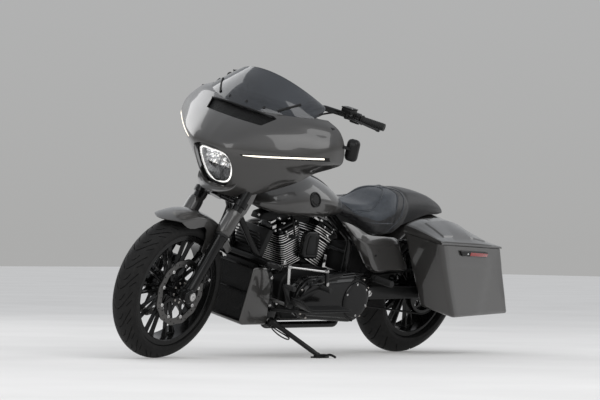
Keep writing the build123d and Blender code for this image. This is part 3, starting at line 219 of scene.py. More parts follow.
# %% Paint
paint = Finish("body paint", Metallic=0.25, Coat_Roughness=0.03, Specular_IOR_Level=0.5)
flake = paint.noise(2600.0, 1.0)
cloud = paint.noise(3.5, 2.0)
paint.feed("Base Color", paint.ramp(flake * 0.6 + cloud * 0.4, (0.3, grey(0.030, 0.05)),
                                    (0.7, grey(0.048, 0.05))))
paint.feed("Roughness", cloud * 0.10 + 0.26)
paint.feed("Coat Weight", 1.0 - cloud * 0.12)
paint.bump(paint.noise(420.0, 2.0), 0.00004, 0.25)
print("paint", paint.material.name)


# %% Metals and plastics
def metal(name, level, roughness, warmth=0.0, grain=900.0, depth=0.00003, metallic=1.0, coat=0.0, shine=0.5):
    """A metal or hard finish with a fine grain and faint handling marks."""
    finish = Finish(name, Metallic=metallic, Coat_Roughness=0.08, Coat_Weight=coat, Specular_IOR_Level=shine)
    fine = finish.noise(grain, 4.0)
    broad = finish.noise(14.0, 3.0)
    mix = fine * 0.35 + broad * 0.65
    finish.feed("Base Color", finish.ramp(mix, (0.25, grey(level * 0.82, warmth)),
                                          (0.75, grey(level * 1.12, warmth))))
    finish.feed("Roughness", mix * 0.18 + (roughness - 0.09))
    finish.bump(fine, depth, 0.5)
    return finish


chrome = metal("chrome", 0.80, 0.10, depth=0.00001)
steel = metal("brushed steel", 0.46, 0.30, 0.01)
polished = metal("machined edges", 0.62, 0.22, 0.01)
gloss_black = metal("gloss black coat", 0.006, 0.22, metallic=0.0, coat=0.22, depth=0.00002, shine=0.15)
black_metal = metal("satin black coat", 0.008, 0.38, metallic=0.0, coat=0.08, depth=0.00003, shine=0.2)
cast_black = metal("wrinkle black", 0.009, 0.48, metallic=0.0, grain=1500.0, depth=0.00012, shine=0.2)
black_plastic = metal("moulded black", 0.009, 0.52, metallic=0.0, grain=2200.0, depth=0.00008, shine=0.25)
dark_steel = metal("dark steel", 0.13, 0.34, 0.02)
fin_edge = metal("fin edges", 0.88, 0.30, 0.02)
gold_bolt = metal("plated bolts", 0.52, 0.28, 0.06)

# %% Rubber, leather and glass
rubber = Finish("tyre rubber", Specular_IOR_Level=0.18)
scuff = rubber.noise(60.0, 5.0, 0.6)
rubber.feed("Base Color", rubber.ramp(scuff, (0.3, grey(0.007)), (0.75, grey(0.017, 0.03))))
rubber.feed("Roughness", scuff * 0.22 + 0.50)
rubber.bump(rubber.noise(1400.0, 3.0), 0.00006, 0.6)

grip_rubber = Finish("grip rubber", Specular_IOR_Level=0.35)
speck = grip_rubber.noise(800.0, 3.0)
grip_rubber.feed("Base Color", grip_rubber.ramp(speck, (0.3, grey(0.009)), (0.8, grey(0.018))))
grip_rubber.feed("Roughness", speck * 0.2 + 0.5)
grip_rubber.bump(speck, 0.0001, 0.6)


def leather(name, dark, light):
    """Seat cover: pebble grain with fine creases between the pebbles."""
    finish = Finish(name, Sheen_Weight=0.15, Sheen_Roughness=0.4)
    pebble = finish.cells(620.0)
    crease = finish.noise(55.0, 5.0, 0.65)
    finish.feed("Base Color", finish.ramp(crease, (0.3, dark), (0.75, light)))
    finish.feed("Roughness", pebble * 0.18 + crease * 0.12 + 0.34)
    finish.bump(pebble * 0.7 + crease * 0.5, 0.0004, 0.55)
    return finish


seat_black = leather("seat cover", (0.012, 0.012, 0.013), (0.026, 0.026, 0.028))
seat_insert = leather("seat insert", (0.022, 0.027, 0.034), (0.046, 0.054, 0.066))

smoke = Finish("smoke screen", Transmission_Weight=0.55, IOR=1.49, Coat_Weight=0.6)
haze = smoke.noise(5.0, 2.0)
smoke.feed("Base Color", smoke.ramp(haze, (0.2, (0.020, 0.024, 0.030)), (0.8, (0.034, 0.040, 0.050))))
smoke.feed("Roughness", haze * 0.03 + 0.03)
smoke.feed("Alpha", 0.93 - haze * 0.06)

lens = Finish("clear lens", Transmission_Weight=0.95, IOR=1.46)
lens.feed("Base Color", lens.ramp(lens.noise(9.0), (0.2, (0.90, 0.92, 0.94)), (0.8, (0.98, 0.98, 1.0))))
lens.feed("Roughness", lens.noise(30.0) * 0.03 + 0.01)

red_lens = Finish("red lens", Coat_Weight=0.8)
ribs = (red_lens.axis("X") * 900.0).wave()
red_lens.feed("Base Color", red_lens.ramp(ribs * 0.5 + 0.5, (0.0, (0.16, 0.004, 0.004)),
                                          (1.0, (0.40, 0.012, 0.010))))
red_lens.feed("Roughness", red_lens.noise(50.0) * 0.1 + 0.12)


def glowing(name, colour, strength):
    """A lit diffuser, a little uneven as light from a row of diodes is."""
    finish = Finish(name, Base_Color=(*colour, 1.0), Emission_Strength=strength)
    uneven = finish.noise(70.0, 2.0)
    dim = tuple(0.82 * channel for channel in colour)
    finish.feed("Emission Color", finish.ramp(uneven, (0.3, dim), (0.6, colour)))
    finish.feed("Roughness", uneven * 0.1 + 0.25)
    return finish


light_white = glowing("lit diffuser", (1.0, 0.98, 0.94), 1.3)
light_warm = glowing("lit light bar", (1.0, 0.93, 0.80), 1.15)
print(len(bpy.data.materials), "finishes")

# %% [markdown]
# ## Dressing the nodes that stay
#
# A CAD node whose shape is right keeps its mesh and only gets a finish. Each slot of the record maps to
# one finish, and the nodes that are replaced further down are hidden by their replacements.

# %% Finishes on CAD nodes
SLOT_FINISH = {
    "body_paint": paint, "black_metal": gloss_black, "engine_black": cast_black, "polished": polished,
    "chrome": chrome, "steel": steel, "tyre": rubber, "seat_leather": seat_black, "smoke_screen": smoke,
    "lamp_glass": lens, "red_lens": red_lens, "light_bar": light_warm, "black_plastic": black_plastic,
    "grip_rubber": grip_rubber, "mirror_glass": gloss_black,
}
for entry in frame["record"]["subparts"]:
    node = frame["nodes"][entry["node"]]
    node.data.materials.clear()
    node.data.materials.append(SLOT_FINISH[entry["material_slot"]].material)

# %% [markdown]
# ## Workshop tools
#
# The same few moves come back for every piece: select one object, run one modifier for good, lay a grid
# of points over a surface, turn a profile on a lathe, press a plate out of an outline, bend a tube, cut
# an opening. They are written once here. Sizes are given in millimetres on the bench.

# %% Selecting and finishing
MM = 0.001


def alone(piece):
    """Select one piece only, and make it the active one."""
    if bpy.context.object and bpy.context.object.mode != "OBJECT":
        bpy.ops.object.mode_set(mode="OBJECT")
    bpy.ops.object.select_all(action="DESELECT")
    piece.select_set(True)
    bpy.context.view_layer.objects.active = piece
    return piece


def worked(piece, kind, **settings):
    """Add a modifier, set it and apply it."""
    alone(piece)
    modifier = piece.modifiers.new(kind.title(), kind)
    for key, value in settings.items():
        setattr(modifier, key, value)
    bpy.ops.object.modifier_apply(modifier=modifier.name)
    return piece


def tidied(piece, merge=0.02):
    """Merge doubled points and turn every face outwards."""
    alone(piece)
    bpy.ops.object.mode_set(mode="EDIT")
    bpy.ops.mesh.select_all(action="SELECT")
    bpy.ops.mesh.remove_doubles(threshold=merge * MM)
    bpy.ops.mesh.normals_make_consistent(inside=False)
    bpy.ops.object.mode_set(mode="OBJECT")
    return piece


def rounded(piece, width, segments=2, angle=32):
    """Bevel every edge sharper than an angle."""
    return worked(piece, "BEVEL", width=width * MM, segments=segments, limit_method="ANGLE",
                  angle_limit=radians(angle), harden_normals=False)


def smoothed(piece, angle=35):
    alone(piece)
    bpy.ops.object.shade_smooth_by_angle(angle=radians(angle))
    return piece


def joined(name, *parts):
    """Several pieces made one; each keeps the finishes of its own faces."""
    alone(parts[0])
    for part in parts[1:]:
        part.select_set(True)
    bpy.ops.object.join()
    parts[0].name = name
    return parts[0]


def copied(piece, name, move=(0, 0, 0), spin=None, mirror=False):
    """A copy with its own mesh, moved in millimetres, turned by a matrix or mirrored left to right."""
    twin = piece.copy()
    twin.data = piece.data.copy()
    twin.name = name
    bpy.context.collection.objects.link(twin)
    if spin:
        twin.data.transform(spin)
    twin.data.transform(Matrix.Translation(Vector(move) * MM))
    if mirror:
        twin.data.transform(Matrix.Diagonal((1, -1, 1, 1)))
        twin.data.flip_normals()
    return twin


def carved(piece, cutter, how="DIFFERENCE", keep=False):
    """Cut one piece by another, and put the cutter away."""
    worked(piece, "BOOLEAN", object=cutter, operation=how, solver="EXACT")
    if not keep:
        bpy.data.objects.remove(cutter)
    return piece


def finished(piece, *finishes):
    """Give a piece its finishes; the first covers every face."""
    piece.data.materials.clear()
    for finish in finishes:
        piece.data.materials.append(finish.material)
    return piece


def set_down(piece, body, slot, *nodes):
    """Move a piece from the bench to the place its body has, hang it on its body and hide the CAD nodes it
    replaces.
    """
    piece.data.transform(PLACE[body])
    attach(piece, body)
    if nodes:
        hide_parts(*nodes)
    print(piece.name, "rides", body, len(piece.data.polygons), "faces")
    return piece


# %% Making shapes
def blank(name, points, edges=(), faces=()):
    mesh = bpy.data.meshes.new(name)
    mesh.from_pydata([Vector(p) * MM for p in points], edges, faces)
    piece = bpy.data.objects.new(name, mesh)
    bpy.context.collection.objects.link(piece)
    return alone(piece)


def sheet_of(name, rows, wrap=False, capped=False):
    """A sheet laid over rows of points; wrapped, it becomes a tube, which can be capped."""
    across, down = len(rows[0]) + wrap, len(rows)
    bpy.ops.mesh.primitive_grid_add(x_subdivisions=across - 1, y_subdivisions=down - 1, size=2)
    piece = bpy.context.object
    piece.name = name
    for vertex in piece.data.vertices:
        column = round((vertex.co.x + 1) / 2 * (across - 1))
        row = round((vertex.co.y + 1) / 2 * (down - 1))
        vertex.co = Vector(rows[row][column % len(rows[0])]) * MM
    if capped:
        alone(piece)
        bpy.ops.object.mode_set(mode="EDIT")
        bpy.ops.mesh.select_all(action="SELECT")
        bpy.ops.mesh.remove_doubles(threshold=0.02 * MM)
        bpy.ops.mesh.select_all(action="DESELECT")
        bpy.ops.mesh.select_non_manifold()
        bpy.ops.mesh.edge_face_add()
        bpy.ops.object.mode_set(mode="OBJECT")
    return tidied(piece)


def turned(name, profile, centre, axis=(0, 1, 0), steps=64, sweep=360.0):
    """A lathe: a profile of (along, radius) pairs swept round an axis through a centre."""
    along = Vector(axis).normalized()
    out = along.orthogonal().normalized() if abs(along.y) < 0.99 else Vector((1, 0, 0))
    points = [Vector(centre) + along * a + out * r for a, r in profile]
    piece = blank(name, points, [(i, i + 1) for i in range(len(points) - 1)])
    bpy.ops.object.mode_set(mode="EDIT")
    bpy.ops.mesh.select_all(action="SELECT")
    bpy.ops.mesh.spin(steps=steps, angle=radians(sweep), center=Vector(centre) * MM, axis=along)
    bpy.ops.object.mode_set(mode="OBJECT")
    return tidied(piece)


def pressed(name, outline, low, high, axis="y"):
    """A plate: an outline in the two other coordinates, extruded from low to high along an axis."""
    lift = {"x": lambda a, b, c: (c, a, b), "y": lambda a, b, c: (a, c, b), "z": lambda a, b,
            c: (a, b, c)}[axis]
    piece = blank(name, [lift(a, b, low) for a, b in outline], (), [tuple(range(len(outline)))])
    step = Vector(lift(0, 0, high - low)) * MM
    bpy.ops.object.mode_set(mode="EDIT")
    bpy.ops.mesh.select_all(action="SELECT")
    bpy.ops.mesh.extrude_region_move(TRANSFORM_OT_translate={"value": step})
    bpy.ops.object.mode_set(mode="OBJECT")
    return tidied(piece)


def bent(name, points, radius, smooth=4, sides=4, closed=False):
    """A tube that follows points; smooth is how far a NURBS path rounds its corners (2 is straight)."""
    curve = bpy.data.curves.new(name, "CURVE")
    curve.dimensions = "3D"
    curve.bevel_depth = radius * MM
    curve.bevel_resolution = sides
    curve.resolution_u = 10
    curve.use_fill_caps = not closed
    line = curve.splines.new("NURBS")
    line.points.add(len(points) - 1)
    for spot, point in zip(line.points, points):
        spot.co = (*(Vector(point) * MM), 1.0)
    line.order_u = min(smooth, len(points))
    line.use_endpoint_u = not closed
    line.use_cyclic_u = closed
    piece = bpy.data.objects.new(name, curve)
    bpy.context.collection.objects.link(piece)
    alone(piece)
    bpy.ops.object.convert(target="MESH")
    return smoothed(tidied(bpy.context.object), 50)


def rod(name, start, end, radius, sides=24, end_radius=None):
    """A straight bar or cone between two points."""
    a, b = Vector(start), Vector(end)
    top = radius if end_radius is None else end_radius
    bpy.ops.mesh.primitive_cone_add(vertices=sides, radius1=radius * MM, radius2=top * MM,
                                    depth=(b - a).length * MM)
    piece = bpy.context.object
    piece.name = name
    turn = (b - a).to_track_quat("Z", "Y").to_matrix().to_4x4()
    piece.data.transform(Matrix.Translation((a + b) / 2 * MM) @ turn)
    return smoothed(piece)


def block(name, centre, size, turn=None, round_by=2.0, segments=2):
    """A block with its edges rounded, turned about its own centre."""
    bpy.ops.mesh.primitive_cube_add(size=1)
    piece = bpy.context.object
    piece.name = name
    piece.data.transform(Matrix.Diagonal((*(Vector(size) * MM), 1)))
    if round_by:
        rounded(piece, round_by, segments)
    piece.data.transform(Matrix.Translation(Vector(centre) * MM) @ (turn or Matrix.Identity(4)))
    return smoothed(piece)


def bolt_head(name, centre, axis, radius=6.0, height=5.0):
    """A hexagon socket head: a short drum with a bevelled rim and a socket."""
    a = Vector(centre)
    n = Vector(axis).normalized()
    profile = [(0, radius), (height * 0.8, radius), (height, radius * 0.82), (height, radius * 0.45),
               (height * 0.4, radius * 0.42), (height * 0.4, 0)]
    return smoothed(turned(name, profile, a, n, 12), 40)


def mirrored_pair(piece, name):
    """The same piece on both sides, as one object."""
    return joined(name, piece, copied(piece, name + "-twin", mirror=True))


def ring_between(points, count):
    """A closed smooth loop through a few corner points, resampled evenly by a Catmull-Rom rule."""
    n = len(points)
    loop = []
    for k in range(count):
        t = k * n / count
        i = int(t)
        u = t - i
        p0, p1, p2, p3 = (Vector(points[(i + j - 1) % n]) for j in range(4))
        loop.append(0.5 * (2 * p1 + (p2 - p0) * u + (2 * p0 - 5 * p1 + 4 * p2 - p3) * u * u
                           + (3 * p1 - p0 - 3 * p2 + p3) * u ** 3))
    return loop


def line_between(points, count):
    """An open smooth line through a few points."""
    ends = [Vector(points[0]) * 2 - Vector(points[1]), *map(Vector, points),
            Vector(points[-1]) * 2 - Vector(points[-2])]
    line = []
    for k in range(count):
        t = k * (len(points) - 1) / (count - 1)
        i = min(int(t), len(points) - 2)
        u = t - i
        p0, p1, p2, p3 = ends[i:i + 4]
        line.append(0.5 * (2 * p1 + (p2 - p0) * u + (2 * p0 - 5 * p1 + 4 * p2 - p3) * u * u
                           + (3 * p1 - p0 - 3 * p2 + p3) * u ** 3))
    return line


def between(rows, count):
    """More rows, smoothly between a few given ones."""
    columns = [line_between([row[c] for row in rows], count) for c in range(len(rows[0]))]
    return [[column[k] for column in columns] for k in range(count)]


# %% [markdown]
# ## The fairing shell
#
# The fairing is a moulded shell, widest at its wings and narrow under the lamp. Its sections at rising
# heights are easy to give: nose, brow ridge, flank and rear edge. A sheet is laid over those sections,
# smoothed both ways, mirrored, and thickened inwards. Openings are cut afterwards, as they are in the
# real mould, so that lamp, vent and light strips follow the skin exactly.

# %% Sections of the fairing
# each row: height, then x, y of nose, inner brow, brow ridge, upper flank, flank, shoulder, rear edge
FAIRING = [
    (756, (1452, 0), (1449, 28), (1438, 54), (1420, 74), (1406, 84), (1396, 90), (1388, 92)),
    (786, (1462, 0), (1459, 40), (1446, 76), (1410, 112), (1376, 132), (1352, 144), (1338, 148)),
    (826, (1480, 0), (1477, 50), (1464, 94), (1414, 146), (1360, 180), (1316, 202), (1290, 210)),
    (880, (1512, 0), (1508, 60), (1492, 108), (1430, 176), (1356, 236), (1296, 270), (1240, 284)),
    (930, (1544, 0), (1538, 66), (1520, 118), (1446, 206), (1362, 276), (1286, 316), (1204, 330)),
    (968, (1562, 0), (1556, 70), (1538, 122), (1458, 228), (1364, 318), (1278, 372), (1168, 386)),
    (1000, (1556, 0), (1550, 72), (1530, 128), (1456, 236), (1364, 342), (1276, 416), (1162, 432)),
    (1040, (1528, 0), (1520, 76), (1500, 136), (1436, 240), (1352, 344), (1272, 427), (1168, 441)),
    (1082, (1484, 0), (1476, 82), (1456, 148), (1404, 244), (1334, 340), (1260, 422), (1176, 438)),
    (1120, (1430, 0), (1423, 90), (1404, 160), (1364, 244), (1310, 326), (1244, 398), (1186, 424)),
    (1150, (1384, 0), (1377, 96), (1360, 170), (1330, 242), (1288, 312), (1236, 368), (1190, 392)),
    (1174, (1330, 0), (1325, 98), (1314, 172), (1294, 230), (1262, 284), (1226, 320), (1202, 338)),
]
fairing_rows = [[(x, y, z) for x, y in spots] for z, *spots in FAIRING]
fine_rows = between(fairing_rows, 56)
fine_rows = [line_between(row, 41) for row in fine_rows]
skin = sheet_of("fairing_skin", fine_rows)
worked(skin, "MIRROR", use_axis=(False, True, False), use_clip=True, merge_threshold=0.0005)
if sum((p.normal.x for p in skin.data.polygons)) < 0:
    skin.data.flip_normals()
worked(skin, "SOLIDIFY", thickness=0.005, offset=-1.0, use_even_offset=True)
print("fairing skin", len(skin.data.polygons), "faces")

# %% Openings
LAMP_Z = 879
LAMP_OUTLINE = [(0, 968), (50, 966), (92, 950), (108, 912), (100, 858), (76, 814), (40, 792), (0, 787)]
LAMP_OUTLINE = LAMP_OUTLINE + [(-y, z) for y, z in LAMP_OUTLINE[-2:0:-1]]


def lamp_loop(grow=0.0, count=72):
    """The lamp's shield-shaped outline, shrunk or grown about its middle."""
    loop = []
    for point in ring_between([(y, z, 0) for y, z in LAMP_OUTLINE], count):
        away = Vector((point.x, point.y - LAMP_Z, 0))
        away = away * (1 + grow / away.length)
        loop.append((away.x, away.y + LAMP_Z))
    return loop


VENT_OUTLINE = [(-160, 1099), (160, 1099), (190, 1138), (168, 1145), (-168, 1145), (-190, 1138)]


def strip_loop(side, half, grow=0.0):
    """The slot of a light strip: a long band that tapers to a point towards the nose."""
    spine = [(160 - grow, 964), (200, 971), (262, 984), (340, 1002), (422 + grow, 1021)]
    upper = [(side * y, z + half * (0.35 if k == 0 else 1)) for k, (y, z) in enumerate(spine)]
    lower = [(side * y, z - half * (0.35 if k == 0 else 1)) for k, (y, z) in enumerate(spine)]
    return upper + lower[::-1]


fairing = copied(skin, "fairing")
carved(fairing, pressed("cut", lamp_loop(), 1380, 1700, "x"))
carved(fairing, pressed("cut", VENT_OUTLINE, 1300, 1600, "x"))
for side in (1, -1):
    carved(fairing, pressed("cut", strip_loop(side, 8.5, 10), 1225, 1620, "x"))
smoothed(finished(fairing, paint), 38)
set_down(fairing, "fork", "body_paint", "fairing_outer")

# %% [markdown]
# ## Light strips, vent mesh and chin panel
#
# Each strip is a lit diffuser in a black channel. The same skin is used again: what falls inside the
# slot's outline becomes the channel, pushed in a little, and a narrower band of it becomes the light.

# %% Strips and vent
for side, label in ((1, "left"), (-1, "right")):
    channel = carved(copied(skin, "strip_channel_" + label), pressed("cut", strip_loop(side, 8.2, 9), 1225,
        1620, "x"), "INTERSECT")
    channel.data.transform(Matrix.Translation((-0.003, 0, 0)))
    smoothed(finished(channel, gloss_black), 38)
    set_down(channel, "fork", "black_plastic")
    bar = carved(copied(skin, "strip_light_" + label), pressed("cut", strip_loop(side, 3.6, 0), 1225, 1620,
                                                               "x"), "INTERSECT")
    bar.data.transform(Matrix.Translation((0.0005, 0, 0)))
    smoothed(finished(bar, light_warm), 38)
    set_down(bar, "fork", "light_bar", *(["light_strips"] if side > 0 else []))

mesh_finish = Finish("vent mesh", Specular_IOR_Level=0.15)
hole = mesh_finish.cells(210.0)
mesh_finish.feed("Base Color", mesh_finish.ramp(hole, (0.25, grey(0.001)), (0.55, grey(0.010))))
mesh_finish.feed("Roughness", hole * 0.3 + 0.35)
mesh_finish.bump(hole, 0.002, 1.0)
vent = carved(copied(skin, "fairing_vent_mesh"), pressed("cut",
                                                         [(y * 0.99, z + (1 if z < 1120 else -1)) for y,
                                                          z in VENT_OUTLINE], 1300, 1600, "x"), "INTERSECT")
vent.data.transform(Matrix.Translation((-0.012, 0, -0.006)))
smoothed(finished(vent, mesh_finish), 38)
set_down(vent, "fork", "black_plastic", "fairing_vent")
lip = bent("vent_lip", [(1386, -176, 1140), (1396, -120, 1147), (1402, 0, 1149), (1396, 120, 1147),
                        (1386, 176, 1140)], 4.5)
finished(lip, gloss_black)
set_down(lip, "fork", "black_plastic")

chin_line = line_between([(1440, 112, 846), (1452, 110, 816), (1464, 98, 792), (1484, 70, 776),
                          (1500, 36, 768), (1506, 0, 766)], 18)
chin_line += [Vector((p.x, -p.y, p.z)) for p in chin_line[-2::-1]]
chin_rows = []
for back, inwards, lift in ((0, 0.0, 0), (-4, 0.03, 12), (-14, 0.07, 26), (-30, 0.10, 33), (-44, 0.12, 30)):
    chin_rows.append([(p.x + back, p.y * (1 - inwards), p.z + lift * (1 - abs(p.y) / 260))
                      for p in chin_line])
chin_band = sheet_of("chin_band", chin_rows)
if sum(p.normal.x for p in chin_band.data.polygons) < 0:
    chin_band.data.flip_normals()
worked(chin_band, "SOLIDIFY", thickness=0.004, offset=-1.0)
smoothed(finished(rounded(chin_band, 1.2, 2), paint), 50)
set_down(chin_band, "fork", "body_paint")

# %% [markdown]
# ## Headlamp
#
# Behind the clear glass sits a stepped reflector, made bright by a painted glow on its faces, over a dark
# projector, and a white light guide runs round them in the outline of a shield. The surround is gloss black. Each
# is a ring or bowl that
# follows the lamp's outline, so one loop function shapes all of them.

# %% Headlamp
def lamp_face_x(y, z):
    """How far forward the lamp's face stands: it leans back towards its foot and its sides."""
    return 1548 - 0.62 * max(0.0, 968 - z) - 0.0022 * y * y


def lamp_ring(name, sections):
    """A ring or dish from sections of (growth of the outline, step back from the face)."""
    rows = []
    for grow, back in sections:
        rows.append([(lamp_face_x(y, z) - back, y, z) for y, z in lamp_loop(grow)])
    return sheet_of(name, rows, wrap=True)


surround = lamp_ring("lamp_surround", [(-0.5, 26), (-0.5, -2), (-4, -4), (-9, -3), (-16, 4), (-17, 18),
                                       (-30, 22), (-32, 34)])
smoothed(finished(surround, gloss_black), 40)
set_down(surround, "fork", "black_plastic", "headlamp")
halo = lamp_ring("lamp_halo", [(-17, 14), (-17, 5), (-18.5, 3), (-21.5, 3), (-23, 5), (-23, 14)])
smoothed(finished(halo, light_white), 60)
set_down(halo, "fork", "light_bar")
bowl = lamp_ring("lamp_bowl", [(-23.5, 12), (-30, 30), (-44, 44), (-70, 52), (-82, 54)])
smoothed(finished(bowl, dark_steel), 60)
set_down(bowl, "fork", "chrome")

reflector = Finish("lamp reflector", Metallic=1.0)
facet = reflector.node("ShaderNodeTexVoronoi", {"distance": "CHEBYCHEV"},
                       {"Vector": reflector.place, "Scale": 75.0}, "Distance")
reflector.feed("Base Color", reflector.ramp(facet, (0.2, grey(0.95)), (0.6, grey(0.55))))
reflector.feed("Roughness", facet * 0.15 + 0.06)
reflector.bump(facet, 0.004, 1.0)
# Each cell glows warm white at its middle: painted light, standing in for the lamp's light thrown back by the
# reflector, which is no lamp.
glow = reflector.ramp(facet, (0.10, (1.0, 0.96, 0.88)), (0.42, grey(0.02)))
reflector.feed("Emission Color", glow)
reflector.shader.inputs["Emission Strength"].default_value = 0.9
cells = []
for row, (z, half) in enumerate(((940, 46), (915, 60), (892, 66))):
    for column in range(5):
        y = -half + half * (column + 0.5) * 2 / 5
        cells.append(block("cell", (lamp_face_x(y, z) - 26 - 4 * row, y, z), (18, half * 0.36, 20),
                           Matrix.Rotation(radians(-14), 4, "Y"), 3))
smoothed(finished(joined("lamp_reflector", *cells), reflector), 30)
set_down(bpy.data.objects["lamp_reflector"], "fork", "chrome")

projector = turned("lamp_projector", [(0, 30), (22, 30), (26, 26), (26, 21), (18, 19)], (1436, 0, 842),
                   (1, 0, -0.25), 40)
eyeball = turned("lamp_eyeball", [(16, 19), (24, 17), (31, 11), (34, 4), (34.5, 0)], (1436, 0, 842),
                 (1, 0, -0.25), 40)
side_cells = [turned("side_lens", [(0, 17), (12, 17), (16, 12), (19, 5), (19.5, 0)], (1440, y, 856),
                     (1, 0, -0.2), 24) for y in (-44, 44)]
smoothed(finished(projector, gloss_black), 40)
set_down(projector, "fork", "black_plastic")
smoothed(finished(joined("lamp_eyes", eyeball, *side_cells), lens), 60)
set_down(bpy.data.objects["lamp_eyes"], "fork", "lamp_glass")
glass = lamp_ring("lamp_glass", [(-18, 1), (-24, -1), (-40, -3), (-64, -4), (-84, -4.5)])
smoothed(finished(worked(glass, "SOLIDIFY", thickness=0.002), lens), 60)
set_down(glass, "fork", "lamp_glass")
bpy.data.objects.remove(skin)


# %% [markdown]
# ## Windshield
#
# A low bubble of smoked acrylic, free-blown so that it curves both ways. It is laid out as a sheet whose
# nose leans back and whose sides sweep away from it, trimmed by an arched outline, then given its real
# four millimetres. Three screws, two slots and the black edge trims make it read as a fitted part.

# %% Screen
# each row: height at the middle, height at the sides, nose x, how fast x falls with y squared, half width
SCREEN = [
    (1146, 1122, 1388, 0.00106, 252),
    (1176, 1146, 1376, 0.00110, 284),
    (1206, 1168, 1363, 0.00119, 298),
    (1236, 1184, 1348, 0.00131, 304),
    (1267, 1200, 1327, 0.00146, 300),
    (1294, 1212, 1304, 0.00158, 288),
    (1315, 1220, 1284, 0.00166, 270),
]


def screen_point(row, u):
    """A point of a screen row, u from -1 on the right to 1 on the left."""
    middle, side, nose, fall, half = row
    y = half * u
    droop = abs(u) ** 2.1
    return (nose - fall * y * y, y, middle + (side - middle) * droop)


screen_rows = [[screen_point(row, -1 + k / 12) for k in range(25)] for row in SCREEN]
screen = sheet_of("screen", between(screen_rows, 30))
worked(screen, "SOLIDIFY", thickness=0.004, offset=0.0, use_even_offset=True)
smoothed(finished(screen, smoke), 40)
set_down(screen, "fork", "smoke_screen", "windshield")


def on_screen(u, t, out=3.0):
    """A point just outside the screen; t runs from 0 at its foot to 1 at its crest."""
    rows = between(screen_rows, 30)
    row = rows[min(29, max(0, round(t * 29)))]
    point = line_between(row, 49)[round((u + 1) * 24)]
    return (point[0] + out, point[1] * (1 + out / 300), point[2])


trims = [bent("trim", [on_screen(side * u, t, 1.0) for u, t in ((0.66, 0.0), (0.86, 0.04), (1.0, 0.3),
                                                                (1.0, 0.62))], 5.5)
         for side in (1, -1)]
foot_trim = bent("trim", [on_screen(u / 10, 0.0, 0.0) for u in range(-7, 8)], 3.5)
screws = []
for u in (-0.32, 0.03, 0.38):
    at = Vector(on_screen(u, 0.13, 1.0))
    screws.append(turned("screw", [(0, 7), (2.5, 7), (4.5, 4.5), (4.5, 0)], at, (1, 0.1 * u, 0.3), 20))
smoothed(finished(joined("screen_trim", *trims, foot_trim, *screws), gloss_black), 40)
set_down(bpy.data.objects["screen_trim"], "fork", "black_plastic")
slots = []
for side in (1, -1):
    line = [on_screen(side * u, t, 2.5) for u, t in ((0.60, 0.16), (0.66, 0.36), (0.73, 0.56))]
    slots.append(bent("slot", line, 6.0))
finished(joined("screen_slots", *slots), black_plastic)
set_down(bpy.data.objects["screen_slots"], "fork", "black_plastic")

# %% [markdown]
# ## Fuel tank, console and badges
#
# A stretched teardrop, pressed in two halves. Its sections along the machine carry all of its shape: a
# flat belly over the backbone, flanks that tuck under, and a crown that falls away to the seat. The
# sheet closes at both ends by shrinking its last sections.

# %% Tank
# each row: x, half width of belly and of flanks, then z of belly, flank and crown
TANK = [
    (1206, 20, 26, 712, 724, 738), (1196, 44, 58, 702, 720, 754), (1160, 72, 92, 690, 718, 782),
    (1110, 90, 116, 680, 718, 808), (1030, 104, 141, 674, 732, 842), (930, 106, 147, 669, 741, 859),
    (840, 100, 140, 669, 737, 842), (760, 86, 124, 671, 724, 812), (690, 66, 98, 675, 709, 777),
    (648, 46, 68, 681, 703, 746), (632, 30, 44, 688, 702, 730), (626, 12, 16, 698, 704, 714),
]


def tank_section(x, belly, flank, low, side, top):
    rise = top - side
    half = [
        (0, low), (belly * 0.6, low), (belly, low + 3), (flank * 0.93, low + (side - low) * 0.42),
        (flank, side), (flank * 0.965, side + rise * 0.26), (flank * 0.80, side + rise * 0.56),
        (flank * 0.52, side + rise * 0.82), (flank * 0.24, side + rise * 0.96), (0, top),
    ]
    return [(x, y, z) for y, z in half]


tank_rows = [line_between(row, 30) for row in between([tank_section(*row) for row in TANK], 70)]
tank = sheet_of("tank", tank_rows)
worked(tank, "MIRROR", use_axis=(False, True, False), use_clip=True, merge_threshold=0.001)
alone(tank)
bpy.ops.object.mode_set(mode="EDIT")
bpy.ops.mesh.select_all(action="DESELECT")
bpy.ops.mesh.select_non_manifold()
bpy.ops.mesh.edge_face_add()
bpy.ops.object.mode_set(mode="OBJECT")
smoothed(finished(tidied(tank), paint), 40)
set_down(tank, "chassis", "body_paint", "fuel_tank")


def tank_top(x, y=0.0):
    """Height of the tank's crown at a point."""
    rows = sorted(TANK)
    for a, b in zip(rows, rows[1:]):
        if a[0] <= x <= b[0]:
            t = (x - a[0]) / (b[0] - a[0])
            flank, side, top = (a[k] + (b[k] - a[k]) * t for k in (2, 4, 5))
            return side + (top - side) * sqrt(max(0.0, 1 - (y / flank) ** 2))
    return rows[0][5]


console_rows = []
for x, half, high in ((1088, 6, 1), (1080, 16, 5), (1040, 27, 7), (960, 33, 7), (880, 33, 7), (800, 30, 7),
                      (740, 25, 6), (706, 17, 5), (692, 7, 1)):
    sides = [(-1.0, -4.0), (-0.92, 0.6), (-0.55, 1.0), (0.0, 1.1), (0.55, 1.0), (0.92, 0.6), (1.0, -4.0)]
    console_rows.append([(x, half * u, tank_top(x, half * u) + (high * v if v > 0 else v)) for u, v in sides])
console = sheet_of("tank_console", between(console_rows, 40))
worked(console, "SOLIDIFY", thickness=0.002)
smoothed(finished(console, black_metal), 50)
set_down(console, "chassis", "black_plastic", "tank_trim")
cap = turned("filler_cap", [(-6, 34), (6, 34), (9, 31), (9, 27), (12, 25), (14, 20), (14, 0)],
             (906, 0, tank_top(906) - 2), (0.1, 0, 1), 40)
smoothed(finished(cap, gloss_black), 30)
set_down(cap, "chassis", "black_plastic")

